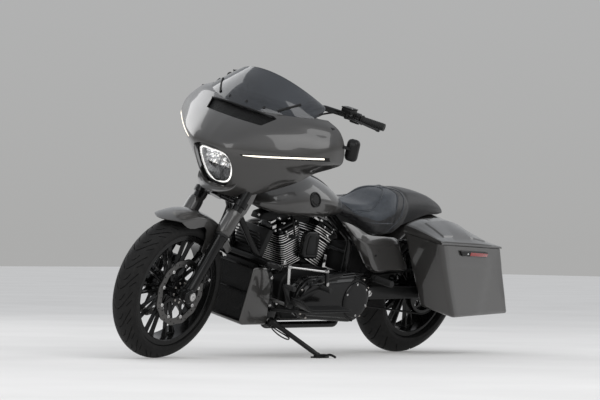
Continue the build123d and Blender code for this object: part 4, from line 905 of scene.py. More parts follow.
for side, label in ((1, "left"), (-1, "right")):
    centre, facing = Vector((936, side * 140.5, 762.5)), Vector((0.02, side * 0.93, 0.36)).normalized()
    dial = turned("badge", [(-9, 35), (5, 35), (7.5, 33), (7.5, 29), (4, 27.5), (4, 21), (5.6, 20),
                            (5.6, 0)], centre, facing, 56)
    across = facing.orthogonal().normalized()
    up = facing.cross(across)
    pins = []
    for k in range(12):
        at = centre + across * cos(k * pi / 6) * 24 + up * sin(k * pi / 6) * 24 + facing * 4
        pins.append(turned("pin", [(0, 1.9), (1.6, 1.9), (2.2, 1.2), (2.2, 0)], at, facing, 8))
    badge = joined("badge_" + label, dial, *pins)
    smoothed(finished(badge, black_metal), 30)
    set_down(badge, "chassis", "black_plastic")

# %% [markdown]
# ## Seat
#
# A two-up saddle: a deep rider's scoop with blue-grey leather inserts, a black bolster round it and a
# narrower pillion behind. Foam under leather swells between its seams, so the rough form is remeshed and
# blown up a little as cloth. Piping and the join between the two seats are laid on afterwards.

# %% Seat form
# each row: x, half width of base and flanks, then z of base, flank and crown, and the dish of the middle
SEAT = [
    (636, 22, 26, 696, 704, 716, 0), (624, 44, 56, 682, 694, 722, 0), (590, 70, 94, 664, 688, 727, 2),
    (540, 98, 132, 636, 676, 733, 5), (480, 124, 155, 606, 664, 742, 8), (430, 127, 159, 598, 672, 764, 8),
    (390, 124, 157, 596, 690, 786, 5), (350, 116, 151, 598, 704, 795, 2), (310, 110, 144, 602, 712, 797, 0),
    (262, 102, 131, 622, 722, 797, 0), (243, 97, 124, 632, 722, 789, 0), (225, 97, 122, 638, 724, 796, 0),
    (150, 95, 119, 660, 728, 795, 2), (70, 92, 114, 684, 728, 782, 2), (10, 84, 104, 688, 720, 762, 0),
    (-45, 68, 86, 686, 708, 738, 0), (-86, 46, 62, 682, 692, 708, 0), (-100, 20, 28, 684, 688, 694, 0),
]


def seat_section(x, base, flank, low, side, top, dish):
    rise = top - side
    half = [
        (0, low), (base * 0.6, low), (base, low + 2), (base + (flank - base) * 0.7,
                                                       low + (side - low) * 0.45),
        (flank, side - 4), (flank * 0.96, side + rise * 0.30), (flank * 0.80, side + rise * 0.64),
        (flank * 0.55, side + rise * 0.88 - dish * 0.2), (flank * 0.26, top - rise * 0.03 - dish * 0.8),
            (0, top - dish),
    ]
    return [(x, y, z) for y, z in half]


def seat_shape(name):
    rows = [line_between(row, 26) for row in between([seat_section(*row) for row in SEAT], 90)]
    piece = sheet_of(name, rows)
    worked(piece, "MIRROR", use_axis=(False, True, False), use_clip=True, merge_threshold=0.001)
    alone(piece)
    bpy.ops.object.mode_set(mode="EDIT")
    bpy.ops.mesh.select_all(action="DESELECT")
    bpy.ops.mesh.select_non_manifold()
    bpy.ops.mesh.edge_face_add()
    bpy.ops.object.mode_set(mode="OBJECT")
    return tidied(piece)


def swollen(piece, shrink, cap, voxel=0.006, pressure=4.0):
    """Shrink a form a little, blow it up as cloth, and cap how far each point goes."""
    mesh = piece.data
    for vertex, normal in [(v, v.normal.copy()) for v in mesh.vertices]:
        vertex.co -= normal * shrink * MM
    alone(piece)
    mesh.remesh_voxel_size = voxel
    bpy.ops.object.voxel_remesh()
    start = [v.co.copy() for v in piece.data.vertices]
    cloth = piece.modifiers.new("Cloth", "CLOTH")
    cloth.settings.use_pressure = True
    cloth.settings.uniform_pressure_force = pressure
    cloth.settings.effector_weights.gravity = 0.0
    cloth.point_cache.frame_end = 20
    for step in range(1, 21):
        bpy.context.scene.frame_set(step)
    bpy.ops.object.modifier_apply(modifier=cloth.name)
    bpy.context.scene.frame_set(1)
    for vertex, origin in zip(piece.data.vertices, start):
        away = vertex.co - origin
        if away.length > cap * MM:
            vertex.co = origin + away.normalized() * cap * MM
    worked(piece, "SMOOTH", factor=0.5, iterations=3)
    worked(piece, "SUBSURF", levels=1, render_levels=1)
    return piece


seat = swollen(seat_shape("seat_cushion"), 3.0, 5.0)
print("seat", len(seat.data.polygons), "faces")

# %% Seat panels and piping
from mathutils.bvhtree import BVHTree
from mathutils.geometry import intersect_point_line

RIDER_RING = [(600, 40), (578, 94), (525, 134), (469, 150), (420, 153), (364, 144), (330, 114), (313, 88),
              (306, 44), (305, 0)]
SCOOP_RING = [(604, 10), (589, 72), (544, 96), (494, 102), (444, 90), (403, 70), (365, 42), (346, 18),
              (340, 0)]


def half_width(ring, x):
    """Half width of a panel outline at x, or 0 outside it."""
    for (x0, y0), (x1, y1) in zip(ring, ring[1:]):
        if x1 <= x <= x0 and x0 > x1:
            return y0 + (y1 - y0) * (x0 - x) / (x0 - x1)
    return 0.0


def near_ring(ring, x, y):
    """Distance from a point to a panel's outline."""
    point = Vector((x, abs(y), 0))
    best = 1e9
    for a, b in zip(ring, ring[1:]):
        spot, t = intersect_point_line(point, Vector((*a, 0)), Vector((*b, 0)))
        spot = Vector((*a, 0)) if t < 0 else Vector((*b, 0)) if t > 1 else spot
        best = min(best, (point - spot).length)
    return best


for vertex in seat.data.vertices:
    x, y, z = vertex.co / MM
    if z < 660 or x > 605:
        continue
    gap = min(near_ring(RIDER_RING, x, y), near_ring(SCOOP_RING, x, y))
    if gap < 12:
        vertex.co -= vertex.normal * 3.2 * MM * (1 - gap / 12) ** 2
seat.data.materials.clear()
for finish in (seat_black, seat_insert):
    seat.data.materials.append(finish.material)
for face in seat.data.polygons:
    x, y, z = face.center / MM
    face.material_index = 1 if face.normal.z > 0.1 and abs(y) < half_width(RIDER_RING, x) else 0
seat_tree = BVHTree.FromPolygons([v.co.copy() for v in seat.data.vertices],
                                 [list(p.vertices) for p in seat.data.polygons])


def laid(points, lift):
    """Points dropped on to the seat from above, then lifted off it along its normal."""
    line = []
    for x, y in points:
        spot, normal, _, _ = seat_tree.ray_cast(Vector((x, y, 1000)) * MM, Vector((0, 0, -1)))
        if spot:
            line.append((spot + normal * lift * MM) / MM)
    return line


def whole_ring(ring, shrink=0.0):
    left = [(x, max(0.0, y - shrink)) for x, y in ring]
    left = [tuple(p)[:2] for p in line_between([(x, y, 0) for x, y in left], 60)]
    right = [(x, -y) for x, y in reversed(left)]
    return left + right[1:]


piping = [bent("piping", laid(whole_ring(ring, shrink), 0.6), 1.7, 3, 2) for ring, shrink in
          ((RIDER_RING, 0.0), (SCOOP_RING, 0.0), (SCOOP_RING, -9.0))]
bolster = [(352, 0), (300, 26), (276, 64), (274, 98), (286, 118)]
outer_line = laid([tuple(p)[:2] for p in line_between([(x, y, 0) for x, y in bolster], 30)], 0.8)
outer_line += [Vector(p) for p in ((306, 139, 722), (332, 153, 690), (372, 154, 646), (398, 140, 618))]
piping.append(bent("piping", outer_line, 2.0, 3, 2))
piping.append(bent("piping", [(p[0], -p[1], p[2]) for p in outer_line], 2.0, 3, 2))
finished(joined("seat_piping", *piping), seat_insert)
smoothed(seat, 60)
set_down(seat, "chassis", "seat_leather", "seat")
set_down(bpy.data.objects["seat_piping"], "chassis", "seat_leather")

# %% [markdown]
# ## Side covers
#
# Each cover is one pressed panel with a turned-in border: a broad middle face, a bevelled band under the
# seat and a darker facet at the front. An outer loop lies against the frame and an inner loop stands
# proud of it, so the facets come from the strip between the two.

# %% Covers
COVER_OUT = [(716, 661), (640, 598), (560, 520), (454, 431), (330, 432), (206, 440), (262, 512), (318, 584),
             (398, 596), (520, 604), (620, 640)]
COVER_IN = [(650, 604), (622, 588), (556, 548), (470, 446), (350, 446), (262, 452), (286, 510), (352, 566),
            (400, 558), (548, 572), (606, 592)]


COVER_POINTS = 88


def cover_loop(outline, y):
    """An outline of (x, z) points as a smooth loop at one distance from the middle."""
    return [(p.x, y, p.y) for p in ring_between([(x, z, 0) for x, z in outline], COVER_POINTS)]


rows = [cover_loop(COVER_OUT, 136), cover_loop(COVER_OUT, 150),
        cover_loop([(a * 0.5 + c * 0.5, b * 0.5 + d * 0.5) for (a, b), (c, d) in zip(COVER_OUT, COVER_IN)],
                   163), cover_loop(COVER_IN, 171)]
middle_x, middle_z = (sum(p[k] for p in rows[-1]) / COVER_POINTS for k in (0, 2))
for shrink in (0.94, 0.55, 0.02):
    rows.append([(middle_x + (x - middle_x) * shrink, 172, middle_z + (z - middle_z) * shrink)
                 for x, y, z in cover_loop(COVER_IN, 172)])
cover = sheet_of("side_covers", rows, wrap=True)
rounded(cover, 2.0, 2, 18)
peg = turned("peg", [(0, 6), (3, 6), (4, 4.5), (4, 0)], (476, 171, 512), (0, 1, 0), 20)
finished(cover, paint)
finished(peg, black_plastic)
covers = mirrored_pair(joined("side_cover", cover, peg), "side_covers")
smoothed(covers, 24)
set_down(covers, "chassis", "body_paint", "side_covers")

# %% [markdown]
# ## Saddlebags
#
# A moulded case, stretched so that its rear wall runs down and back past the wheel. Loops at rising
# heights give its walls, each a rectangle with rounded corners, tapered in plan. The loop turns over a
# rim at the lid's joint and runs down inside again as the lining, so the bag is a true hollow case.

# %% Bags
BAG_FRONT_TOP, BAG_REAR_TOP, BAG_FRONT_FOOT, BAG_REAR_FOOT = (346, 632), (-190, 598), 120, -380
BAG_FLOOR, BAG_IN_Y = 276, 197


def joint_z(x):
    return BAG_REAR_TOP[1] + (BAG_FRONT_TOP[1] - BAG_REAR_TOP[1]) * (x
        - BAG_REAR_TOP[0]) / (BAG_FRONT_TOP[0] - BAG_REAR_TOP[0])


def bag_out(x):
    return 436 - 0.13 * (BAG_FRONT_TOP[0] - x)


def corner_loop(front, rear, inner, outer, radius, count=16):
    """A rounded rectangle in plan; inner and outer are functions of x."""
    loop = []
    corners = [(front, outer, -1, -1, 0), (rear, outer, 1, -1, 90), (rear, inner, 1, 1, 180),
               (front, inner, -1, 1, 270)]
    for x, edge, sx, sy, start in corners:
        for k in range(count):
            a = radians(start + 90 * k / (count - 1))
            px = x + sx * radius + radius * cos(a)
            py = edge(x + sx * radius) + sy * radius + radius * sin(a)
            loop.append((px, py))
    filled = []
    for a, b in zip(loop, loop[1:] + loop[:1]):
        filled.append(a)
        gap = hypot(b[0] - a[0], b[1] - a[1])
        if gap > 30:
            steps = 14 if gap > 250 else 8
            filled += [(a[0] + (b[0] - a[0]) * k / steps, a[1] + (b[1] - a[1]) * k / steps)
                       for k in range(1, steps)]
    return filled


def bag_loop(t, inset, radius=22.0):
    """A loop of the bag's wall: t is 0 at the floor and 1 at the joint."""
    front = BAG_FRONT_FOOT + (BAG_FRONT_TOP[0] - BAG_FRONT_FOOT) * t - inset * 1.2
    rear = BAG_REAR_FOOT + (BAG_REAR_TOP[0] - BAG_REAR_FOOT) * t + inset * 1.2
    loop = []
    for x, y in corner_loop(front, rear, lambda x: BAG_IN_Y + inset, lambda x: bag_out(x) - inset,
                            max(radius - inset, 4)):
        z = BAG_FLOOR + (joint_z(x) - BAG_FLOOR) * t
        if y > 300 and inset < 3:
            # the outer wall steps in a little below the lamp, and again behind a slanting line
            line = joint_z(x) - 88
            y -= 1.4 / (1 + 2.718 ** ((z - line) / 2.5))
            slant = 540 - (-150 - x) * 1.1
            if x < -120:
                y -= 1.6 / (1 + 2.718 ** ((z - slant) / 3.0))
        loop.append((x, y, z))
    return loop


heights = [0.0, 0.012, 0.03] + [0.06 + 0.94 * k / 34 for k in range(35)]
outer_rows = [[(x, y, BAG_FLOOR) for x, y, z in bag_loop(0.0, 30)],
              [(x, y, BAG_FLOOR) for x, y, z in bag_loop(0.0, 8)]]
outer_rows += [bag_loop(t, max(0.0, 7 * (1 - t / 0.03) ** 2 if t < 0.03 else 0.0)) for t in heights]
rim = [(x, y, z - 0.2) for x, y, z in bag_loop(1.0, 4.0)]
outer = sheet_of("bag_left", outer_rows + [rim], wrap=True)
inner_rows = [rim] + [bag_loop(t, 4.0) for t in (0.9, 0.6, 0.3, 0.08)] + [[(x, y, BAG_FLOOR + 5) for x, y,
    z in bag_loop(0.02, 6)]]
inner_rows.append([(x * 0.02 - 30, 300 + (y - 300) * 0.02, BAG_FLOOR + 5) for x, y, z in bag_loop(0.02, 6)])
inner = sheet_of("lining", inner_rows, wrap=True)
floor_rows = [[(x, y, BAG_FLOOR) for x, y, z in bag_loop(0.0, 30)],
              [(x * 0.02 - 130, 300 + (y - 300) * 0.02, BAG_FLOOR) for x, y, z in bag_loop(0.0, 30)]]
bottom = sheet_of("bottom", floor_rows, wrap=True)
bag = joined("bag_left", finished(outer, paint), finished(inner, black_plastic), finished(bottom, paint))
tidied(bag)
smoothed(bag, 30)
bag_twin = copied(bag, "bag_right", mirror=True)

# %% Marker lights
LAMP_LIE = Matrix.Rotation(atan2(0.13, 1.0), 4, "Z") @ Matrix.Rotation(-atan2(34, 536), 4, "Y")
lights = []
for name, x0, x1, low, high, out, finish in (("house", -64, 184, -44, -20, 10.5, gloss_black),
                                             ("lens", -58, 96, -40, -24, 13.0, red_lens)):
    mid = (x0 + x1) / 2
    outline = [(x0 - mid, low), (x1 - mid - 26, low), (x1 - mid, high),
               (x0 - mid, high)] if name == "house" else [(x0 - mid, low), (x1 - mid, low),
                                                          (x1 - mid, high), (x0 - mid, high)]
    plate = pressed(name, outline, -8, out)
    plate.data.transform(Matrix.Translation(Vector((mid, bag_out(mid), joint_z(mid))) * MM) @ LAMP_LIE)
    rounded(plate, 3.0 if name == "house" else 2.0, 3, 40)
    lights.append(finished(plate, finish))
spot = turned("spot", [(0, 4), (1.5, 4), (2.5, 2.5), (2.5, 0)],
              (118, bag_out(118) + 10.5, joint_z(118) - 31), (0.13, 1, 0), 16)
lights.append(finished(spot, chrome))
marker = smoothed(joined("marker_light", *lights), 40)
markers = mirrored_pair(marker, "marker_lights")

# %% [markdown]
# ## Lids
#
# A lid is pressed with a rolled edge, a sloping flank and a raised panel on top. It hinges along its
# outer edge, so it is a piece of its own on its own body, hollow underneath.

# %% Lids
# each row: x, height of the shoulder, height of the crest above the joint
LID = [(346, 13, 34), (338, 15, 42), (322, 16, 50), (304, 17, 58), (280, 17, 66), (250, 17, 74),
       (190, 17, 82), (116, 17, 87), (30, 17, 74), (-63, 15, 45), (-130, 12, 28), (-176, 10, 16),
       (-190, 9, 13)]


def lid_section(x, shoulder, crest):
    base = joint_z(x) + 1.2
    outer, inner = bag_out(x), BAG_IN_Y
    span = outer - inner
    pad = 5.5 if -92 < x < 282 else 0.0
    heights = [
        (outer - 1.5, 0), (outer, 2.5), (outer, 8), (outer - 4, 9.5), (outer - 5, shoulder - 1),
               (outer - 9, shoulder + 1),
        (outer - 0.17 * span, shoulder + (crest - shoulder) * 0.20),
               (outer - 0.20 * span, shoulder + (crest - shoulder) * 0.24 + pad),
        (outer - 0.45 * span, shoulder + (crest - shoulder) * 0.60 + pad),
               (inner + 0.30 * span, shoulder + (crest - shoulder) * 0.90 + pad),
        (inner + 0.27 * span, shoulder + (crest - shoulder) * 0.93), (inner + 0.10 * span, crest),
               (inner + 5, crest - 3),
        (inner, crest - 10), (inner, 0),
    ]
    return [(x, y, base + h) for y, h in heights]


smooth_lid = between([[Vector(row)] for row in LID], 61)
lid_rows = [lid_section(p[0].x, p[0].y, p[0].z) for p in smooth_lid]
front_row = [(346.5, y, joint_z(346) + 1.2 + (z - joint_z(346) - 1.2) * 0.02) for x, y, z in lid_rows[0]]
rear_row = [(-190.5, y, joint_z(-190) + 1.2 + (z - joint_z(-190) - 1.2) * 0.02) for x, y, z in lid_rows[-1]]
lid = sheet_of("lid_left", [front_row] + lid_rows + [rear_row])
if sum(f.normal.z * f.area for f in lid.data.polygons) < 0:
    lid.data.flip_normals()
finished(lid, paint, black_plastic)
worked(lid, "SOLIDIFY", thickness=0.0035, offset=-1.0, material_offset=1)
smoothed(rounded(lid, 1.2, 2, 35), 28)
lid_twin = copied(lid, "lid_right", mirror=True)
set_down(bag, "chassis", "body_paint", "bag_left")
set_down(bag_twin, "chassis", "body_paint", "bag_right")
set_down(markers, "chassis", "red_lens", "rear_lamps")
set_down(lid, "lid_left", "body_paint", "lid_left")
set_down(lid_twin, "lid_right", "body_paint", "lid_right")

# %% [markdown]
# ## Tyres with a curved tread
#
# A tyre is turned on the lathe from its section: beads, a sidewall that swells a little past the rim, and
# a round crown. The grooves are real cuts. One repeat of the pattern has a long curved groove, a hook and a
# short shoulder cut. Thin bent blades are shaped for them, copied round the tyre and across its middle.

# %% Tyres
HUBS = {"front": (WHEELBASE * 1000, FRONT_R * 1000), "rear": (0.0, REAR_R * 1000)}
# columns: half width, outer radius, shoulder radius, bead radius, half width of the rim
TYRES = {"front": (62.0, 320.0, 268.0, 241.0, 51.0), "rear": (86.0, 328.0, 262.0, 229.0, 64.0)}


def lofted(name, sections):
    """A solid through a run of closed sections that have the same number of points."""
    count, size = len(sections), len(sections[0])
    points = [point for section in sections for point in section]
    faces = [(i * size + j, i * size + (j + 1) % size, (i + 1) * size + (j + 1) % size, (i + 1) * size + j)
             for i in range(count - 1) for j in range(size)]
    faces += [tuple(range(size)), tuple(range((count - 1) * size, count * size))]
    return tidied(blank(name, points, (), faces))


def tread_spot(which, angle, y, lift):
    """A point over the tread, by its angle round the axle, its place across and its lift."""
    half, outer, shoulder = TYRES[which][:3]
    arc = (half ** 2 + (outer - shoulder) ** 2) / (2 * (outer - shoulder))
    up = sqrt(max(arc ** 2 - y * y, 0)) * (1 + lift / arc)
    reach = outer - arc + up
    hub_x, hub_z = HUBS[which]
    return Vector((hub_x + reach * cos(radians(angle)), y * (1 + lift / arc),
                   hub_z + reach * sin(radians(angle))))


def groove_blade(which, path, width):
    """A thin bent blade that stands in the rubber along a path of (angle, y)."""
    sections = []
    for k, (angle, y) in enumerate(path):
        low, high = tread_spot(which, angle, y, -4.5), tread_spot(which, angle, y, 6)
        before, after = path[max(k - 1, 0)], path[min(k + 1, len(path) - 1)]
        along = tread_spot(which, *after, 0) - tread_spot(which, *before, 0)
        across = along.cross(high - low).normalized() * width * (0.35 if k in (0, len(path) - 1) else 0.5)
        sections.append([low - across, low + across, high + across * 1.3, high - across * 1.3])
    return lofted("blade", sections)


def about_axle(which, degrees_turned):
    """A matrix that turns a piece round an axle on the bench."""
    x, z = HUBS[which]
    centre = Vector((x, 0, z)) * MM
    turn = Matrix.Rotation(-radians(degrees_turned), 4, "Y")
    return Matrix.Translation(centre) @ turn @ Matrix.Translation(-centre)


def tyre_piece(which, repeats, grooves):
    half, outer, shoulder, bead, rim = TYRES[which]
    arc = (half ** 2 + (outer - shoulder) ** 2) / (2 * (outer - shoulder))
    seat = rim - 6.3
    wall = (shoulder + bead) / 2 + 3
    side = [(seat, bead + 0.3), (seat + 1, bead + 11), (seat + 5, bead + 13), (half - 5, wall - 5),
            (half - 3.2, wall - 3),
            (half - 2.6, wall), (half - 1.2, (wall + shoulder) / 2), (half - 0.2, shoulder - 3)]
    crest = [(half * sin(t), 0) for t in (radians(88 - 8 * k) for k in range(12))]
    crest = [(y, outer - arc + sqrt(arc ** 2 - y * y)) for y, _ in crest]
    profile = side + crest + [(0, outer)]
    profile = profile + [(-y, r) for y, r in profile[-2::-1]] + [profile[0]]
    x, z = HUBS[which]
    piece = turned(which + "_tyre_piece", profile, (x, 0, z), (0, 1, 0), 120)
    blades = []
    for path, width in grooves:
        blade = groove_blade(which, path, width)
        blades += [blade, copied(blade, "blade", mirror=True)]
    one = joined("blades", *blades)
    ring = [one] + [copied(one, "blades", spin=about_axle(which, 360 * k / repeats))
                    for k in range(1, repeats)]
    carved(piece, joined("blades", *ring))
    return smoothed(finished(piece, rubber), 28)


front_grooves = [
    ([(0, 4), (1.5, 14), (4, 25), (8, 36), (12.5, 46), (17, 54)], 3.4),
    ([(8, 10), (8.8, 18), (11.5, 26), (14.5, 31)], 3.0),
    ([(4, 40), (6.5, 48), (9.5, 55)], 2.8)]
rear_grooves = [
    ([(0, 6), (1.5, 22), (4, 38), (8, 54), (12.5, 68), (16, 78)], 4.2),
    ([(8, 14), (8.8, 26), (11.5, 38), (14.5, 46)], 3.6)]
set_down(tyre_piece("front", 22, front_grooves), "front_wheel", "tyre", "front_tyre")
set_down(tyre_piece("rear", 20, rear_grooves), "rear_wheel", "tyre", "rear_tyre")

# %% [markdown]
# ## Cast wheels
#
# Each wheel is one casting: a rim with two lips and a deep well, a hub, and ten pairs of slim spokes that
# spread towards the rim. A spoke is a rounded bar that thins in the middle and swells at both ends, so it
# is lofted once through a few sections and copied round. A small web ties each pair at the rim.

# %% Wheels
def spoke(which, lean, deep):
    """One spoke through rounded sections from hub to rim; lean is its swing away from the pair's middle."""
    bead = TYRES[which][3]
    x, z = HUBS[which]
    sections = []
    for reach, wide, thick, swing in ((34, 15, 1.25, 2.3), (52, 12, 1.1, 1.9), (90, 9.5, 0.92, 1.35),
                                      (140, 9, 0.82, 1.05),
                                      (bead - 45, 10, 0.86, 1.0), (bead - 24, 14, 1.05, 1.0),
                                      (bead - 12, 22, 1.25, 1.0)):
        angle = radians(lean * swing)
        out = Vector((cos(angle), 0, sin(angle)))
        side = Vector((-sin(angle), 0, cos(angle)))
        centre = Vector((x, 0, z)) + out * reach
        h, w = deep * thick / 2, wide / 2
        shape = [(h, 0.55 * w), (h * 0.8, w), (-h * 0.8, w), (-h, 0.55 * w), (-h, -0.55 * w),
                 (-h * 0.8, -w), (h * 0.8, -w), (h, -0.55 * w)]
        sections.append([centre + Vector((0, a, 0)) + side * b for a, b in shape])
    return lofted("spoke", sections)


def wheel_piece(which, deep, hub_half):
    x, z = HUBS[which]
    bead, rim = TYRES[which][3:]
    inner = bead - 15
    half_rim = [(rim - 2, inner), (rim, inner + 3), (rim, bead + 8), (rim - 2, bead + 10),
                (rim - 5, bead + 10), (rim - 6, bead),
                (rim - 18, bead - 1), (rim - 26, bead - 7)]
    barrel = half_rim + [(-y, r) for y, r in half_rim[::-1]] + [(-rim + 20, inner - 1), (0, inner - 3),
                                                                (rim - 20, inner - 1), half_rim[0]]
    rim_part = turned("rim", barrel, (x, 0, z), (0, 1, 0), 96)
    hub_profile = [(-hub_half, 13), (-hub_half, 33), (-hub_half + 6, 40), (-hub_half + 22, 40), (-26, 32),
                   (0, 30), (26, 32),
                   (hub_half - 22, 40), (hub_half - 6, 40), (hub_half, 33), (hub_half, 13), (-hub_half, 13)]
    parts = [rim_part, turned("hub", hub_profile, (x, 0, z), (0, 1, 0), 48)]
    pair = joined("pair", spoke(which, 6.0, deep), spoke(which, -6.0, deep),
                  block("web", (x + bead - 19, 0, z), (14, deep * 0.8, 34), None, 5))
    parts += [pair] + [copied(pair, "pair", spin=about_axle(which, 36 * k)) for k in range(1, 10)]
    valve = rod("valve", (x + (bead - 16) * cos(0.3), 0, z + (bead - 16) * sin(0.3)),
                (x + (bead - 44) * cos(0.3), 8, z + (bead - 44) * sin(0.3)), 3.5, 12, 2.6)
    return smoothed(finished(joined(which + "_wheel_casting", *parts, valve), gloss_black), 32)


set_down(wheel_piece("front", 24, 71), "front_wheel", "black_metal", "front_rim")
set_down(wheel_piece("rear", 30, 92), "rear_wheel", "black_metal", "rear_rim")

# %% [markdown]
# ## Brake discs, axle ends and calipers
#
# A floating disc is a steel ring with a waved edge and drilled holes. Bright round bobbins tie it to a
# black carrier. The ring is drawn as two waved loops with a band between them, given its thickness, and
# drilled by one set of pins. A caliper is a block rounded on all its edges with its piston bosses and bolts.

# %% Discs
def waved(radius, depth, waves, count=144, phase=0.0):
    return [(radius + depth * sin(waves * t + phase)) * Vector((cos(t), sin(t)))
            for t in (2 * pi * k / count for k in range(count))]


def band_plate(name, outer, inner, centre, low, high):
    """A flat band between two loops of (x, z), given its thickness along y."""
    count = len(outer)
    x, z = centre
    points = [(x + p[0], low, z + p[1]) for p in outer + inner]
    faces = [(k, (k + 1) % count, count + (k + 1) % count, count + k) for k in range(count)]
    piece = blank(name, points, (), faces)
    bpy.ops.object.mode_set(mode="EDIT")
    bpy.ops.mesh.select_all(action="SELECT")
    bpy.ops.mesh.extrude_region_move(TRANSFORM_OT_translate={"value": (0, (high - low) * MM, 0)})
    bpy.ops.object.mode_set(mode="OBJECT")
    return tidied(piece)


def disc_piece(name, which, low, high):
    x, z = HUBS[which]
    side = 1 if low > 0 else -1
    ring = band_plate(name, waved(148, 2.6, 12), waved(118, 2.0, 12), (x, z), low, high)
    pins = []
    for k in range(36):
        t = 2 * pi * k / 36
        r = (141, 133, 125)[k % 3]
        pins.append(rod("pin", (x + r * cos(t), low - 3, z + r * sin(t)),
                        (x + r * cos(t), high + 3, z + r * sin(t)), 3.6, 10))
    carved(ring, joined("pins", *pins))
    finished(ring, dark_steel, gloss_black, polished)
    carrier = band_plate("carrier", waved(62, 3, 9), waved(27, 0, 1), (x, z), low, high)
    arms = []
    for k in range(9):
        t = 2 * pi * (k + 0.3) / 9
        out, over = Vector((cos(t), 0, sin(t))), Vector((-sin(t), 0, cos(t)))
        c = Vector((x, 0, z))
        shape = [c + out * 58 + over * 9, c + out * 112 + over * 5, c + out * 119 + over * 9,
                 c + out * 119 - over * 9, c + out * 112 - over * 5, c + out * 58 - over * 9]
        arms.append(pressed("arm", [(p.x, p.z) for p in shape], low + 0.4, high - 0.4))
        bob = turned("bobbin", [(-1, 0), (-1, 7), (0, 8.5), (high - low, 8.5), (high - low + 1.5, 7),
                                (high - low + 1.5, 3), (high - low, 2.5), (high - low, 0)],
                     (x + 118 * cos(t), low, z + 118 * sin(t)), (0, 1, 0), 16)
        bob.data.materials.append(polished.material)
        bolt = bolt_head("bolt", (x + 44 * cos(t + 0.3), high if side > 0 else low, z + 44 * sin(t + 0.3)),
                         (0, side, 0), 5.5, 4)
        bolt.data.materials.append(gold_bolt.material)
        arms += [bob, bolt]
    for part in [carrier] + [a for a in arms if not a.data.materials]:
        part.data.materials.append(gloss_black.material)
    return smoothed(joined(name, ring, carrier, *arms), 30)


set_down(disc_piece("front_disc_left", "front", 71.3, 76.3), "front_wheel", "steel", "front_discs")
set_down(disc_piece("front_disc_right", "front", -76.3, -71.3), "front_wheel", "steel")
set_down(disc_piece("rear_disc_piece", "rear", -97.3, -92.3), "rear_wheel", "steel", "rear_disc")

# %% Calipers
def around(which, radius, angle):
    x, z = HUBS[which]
    return x + radius * cos(radians(angle)), z + radius * sin(radians(angle))


def caliper_piece(name, which, middle, y_in, y_out, disc_y):
    span = 17
    outline = [around(which, r, a) for r, a in (
        (122, middle - span), (150, middle - span - 1), (166, middle - span + 3), (175, middle - 8),
                                                (177, middle), (175, middle + 8),
        (166, middle + span - 3), (150, middle + span + 1), (122, middle + span), (116, middle + 8),
                                                (116, middle - 8))]
    body = rounded(pressed(name, outline, min(y_in, y_out), max(y_in, y_out)), 5, 3, 40)
    slot = [around(which, r, a) for r, a in ((100, middle - 30), (156, middle - 30), (157, middle),
                                             (156, middle + 30), (100, middle + 30))]
    carved(body, pressed("slot", slot, disc_y - 6, disc_y + 6))
    side = 1 if y_out > 0 else -1
    parts = [body]
    for a in (middle - 9, middle + 9):
        cx, cz = around(which, 138, a)
        parts.append(turned("piston_boss", [(0, 17), (4, 17), (6, 14), (6, 9), (3, 8), (3, 0)],
                            (cx, y_out, cz), (0, side, 0), 24))
    for a, r in ((middle - 15, 160), (middle + 15, 160)):
        cx, cz = around(which, r, a)
        parts.append(bolt_head("bolt", (cx, y_out, cz), (0, side, 0), 6.5, 5))
    for part in parts:
        part.data.materials.clear()
        part.data.materials.append((polished if part.name.startswith("bolt") else gloss_black).material)
    return smoothed(joined(name, *parts), 32)


left_caliper = caliper_piece("front_caliper_left", "front", 143, 51, 97, 73.8)
right_caliper = copied(left_caliper, "front_caliper_right", mirror=True)
set_down(left_caliper, "fork", "black_metal", "front_calipers")
set_down(right_caliper, "fork", "black_metal")
# %% [markdown]
# ## Fork legs
#
# Each leg is a telescopic pair: a fixed tube in the clamps, a painted shroud round it, a dust seal, and the
# lower leg that carries the axle. Everything here is round about the leg, so the lathe makes it, turned
# about the leg's own line, which leans back a little more than the steering does.

# %% Lower legs, seals and shrouds
LEG = Vector((-sin(FORK_ANGLE), 0, cos(FORK_ANGLE)))
LEG_Y = 115


def on_leg(distance, y=LEG_Y):
    return Vector((1625, y, 320)) + LEG * distance


lower = turned("lower", [(-33, 0), (-33, 17), (-29, 23), (-20, 27), (36, 28), (42, 26.5), (250, 26.5),
                         (262, 28), (286, 28), (290, 30), (300, 30), (303, 27), (303, 0)], on_leg(0), LEG, 48)
axle_lug = rounded(pressed("lug", [(1596, 292), (1640, 284), (1662, 306), (1660, 336), (1634, 352),
                                   (1606, 346)], 92, 143), 7, 3)
lower_leg = finished(joined("fork_leg_left", lower, axle_lug), gloss_black)
nut = bolt_head("axle_nut", (1625, 144, 320), (0, 1, 0), 17, 9)
pinch = [bolt_head("pinch", Vector((1652, y, 300)), (0.8, 0, -0.6), 5.5, 6) for y in (104, 130)]
nuts = finished(joined("axle_end_left", nut, *pinch), polished)
seal = finished(turned("dust_seal", [(302, 24.3), (302, 30), (306, 31.5), (311, 31.5), (311, 24.3)],
                       on_leg(0), LEG, 40), grip_rubber)
shroud = finished(turned("fork_shroud_left", [(312, 26), (312, 32), (316, 34.5), (330, 35.5), (404, 36),
                                              (420, 35), (427, 32.5), (427, 26), (312, 26)], on_leg(0), LEG,
                         48), paint)
for piece, slot, nodes in ((lower_leg, "black_metal", ["fork_sliders"]), (nuts, "polished", []),
                           (seal, "grip_rubber", []), (shroud, "body_paint", ["fork_covers"])):
    twin = copied(piece, piece.name.replace("_left", "") + "_right", mirror=True)
    for one in (piece, twin):
        smoothed(one, 32)
        set_down(one, "fork", slot, *(nodes if one is piece else []))

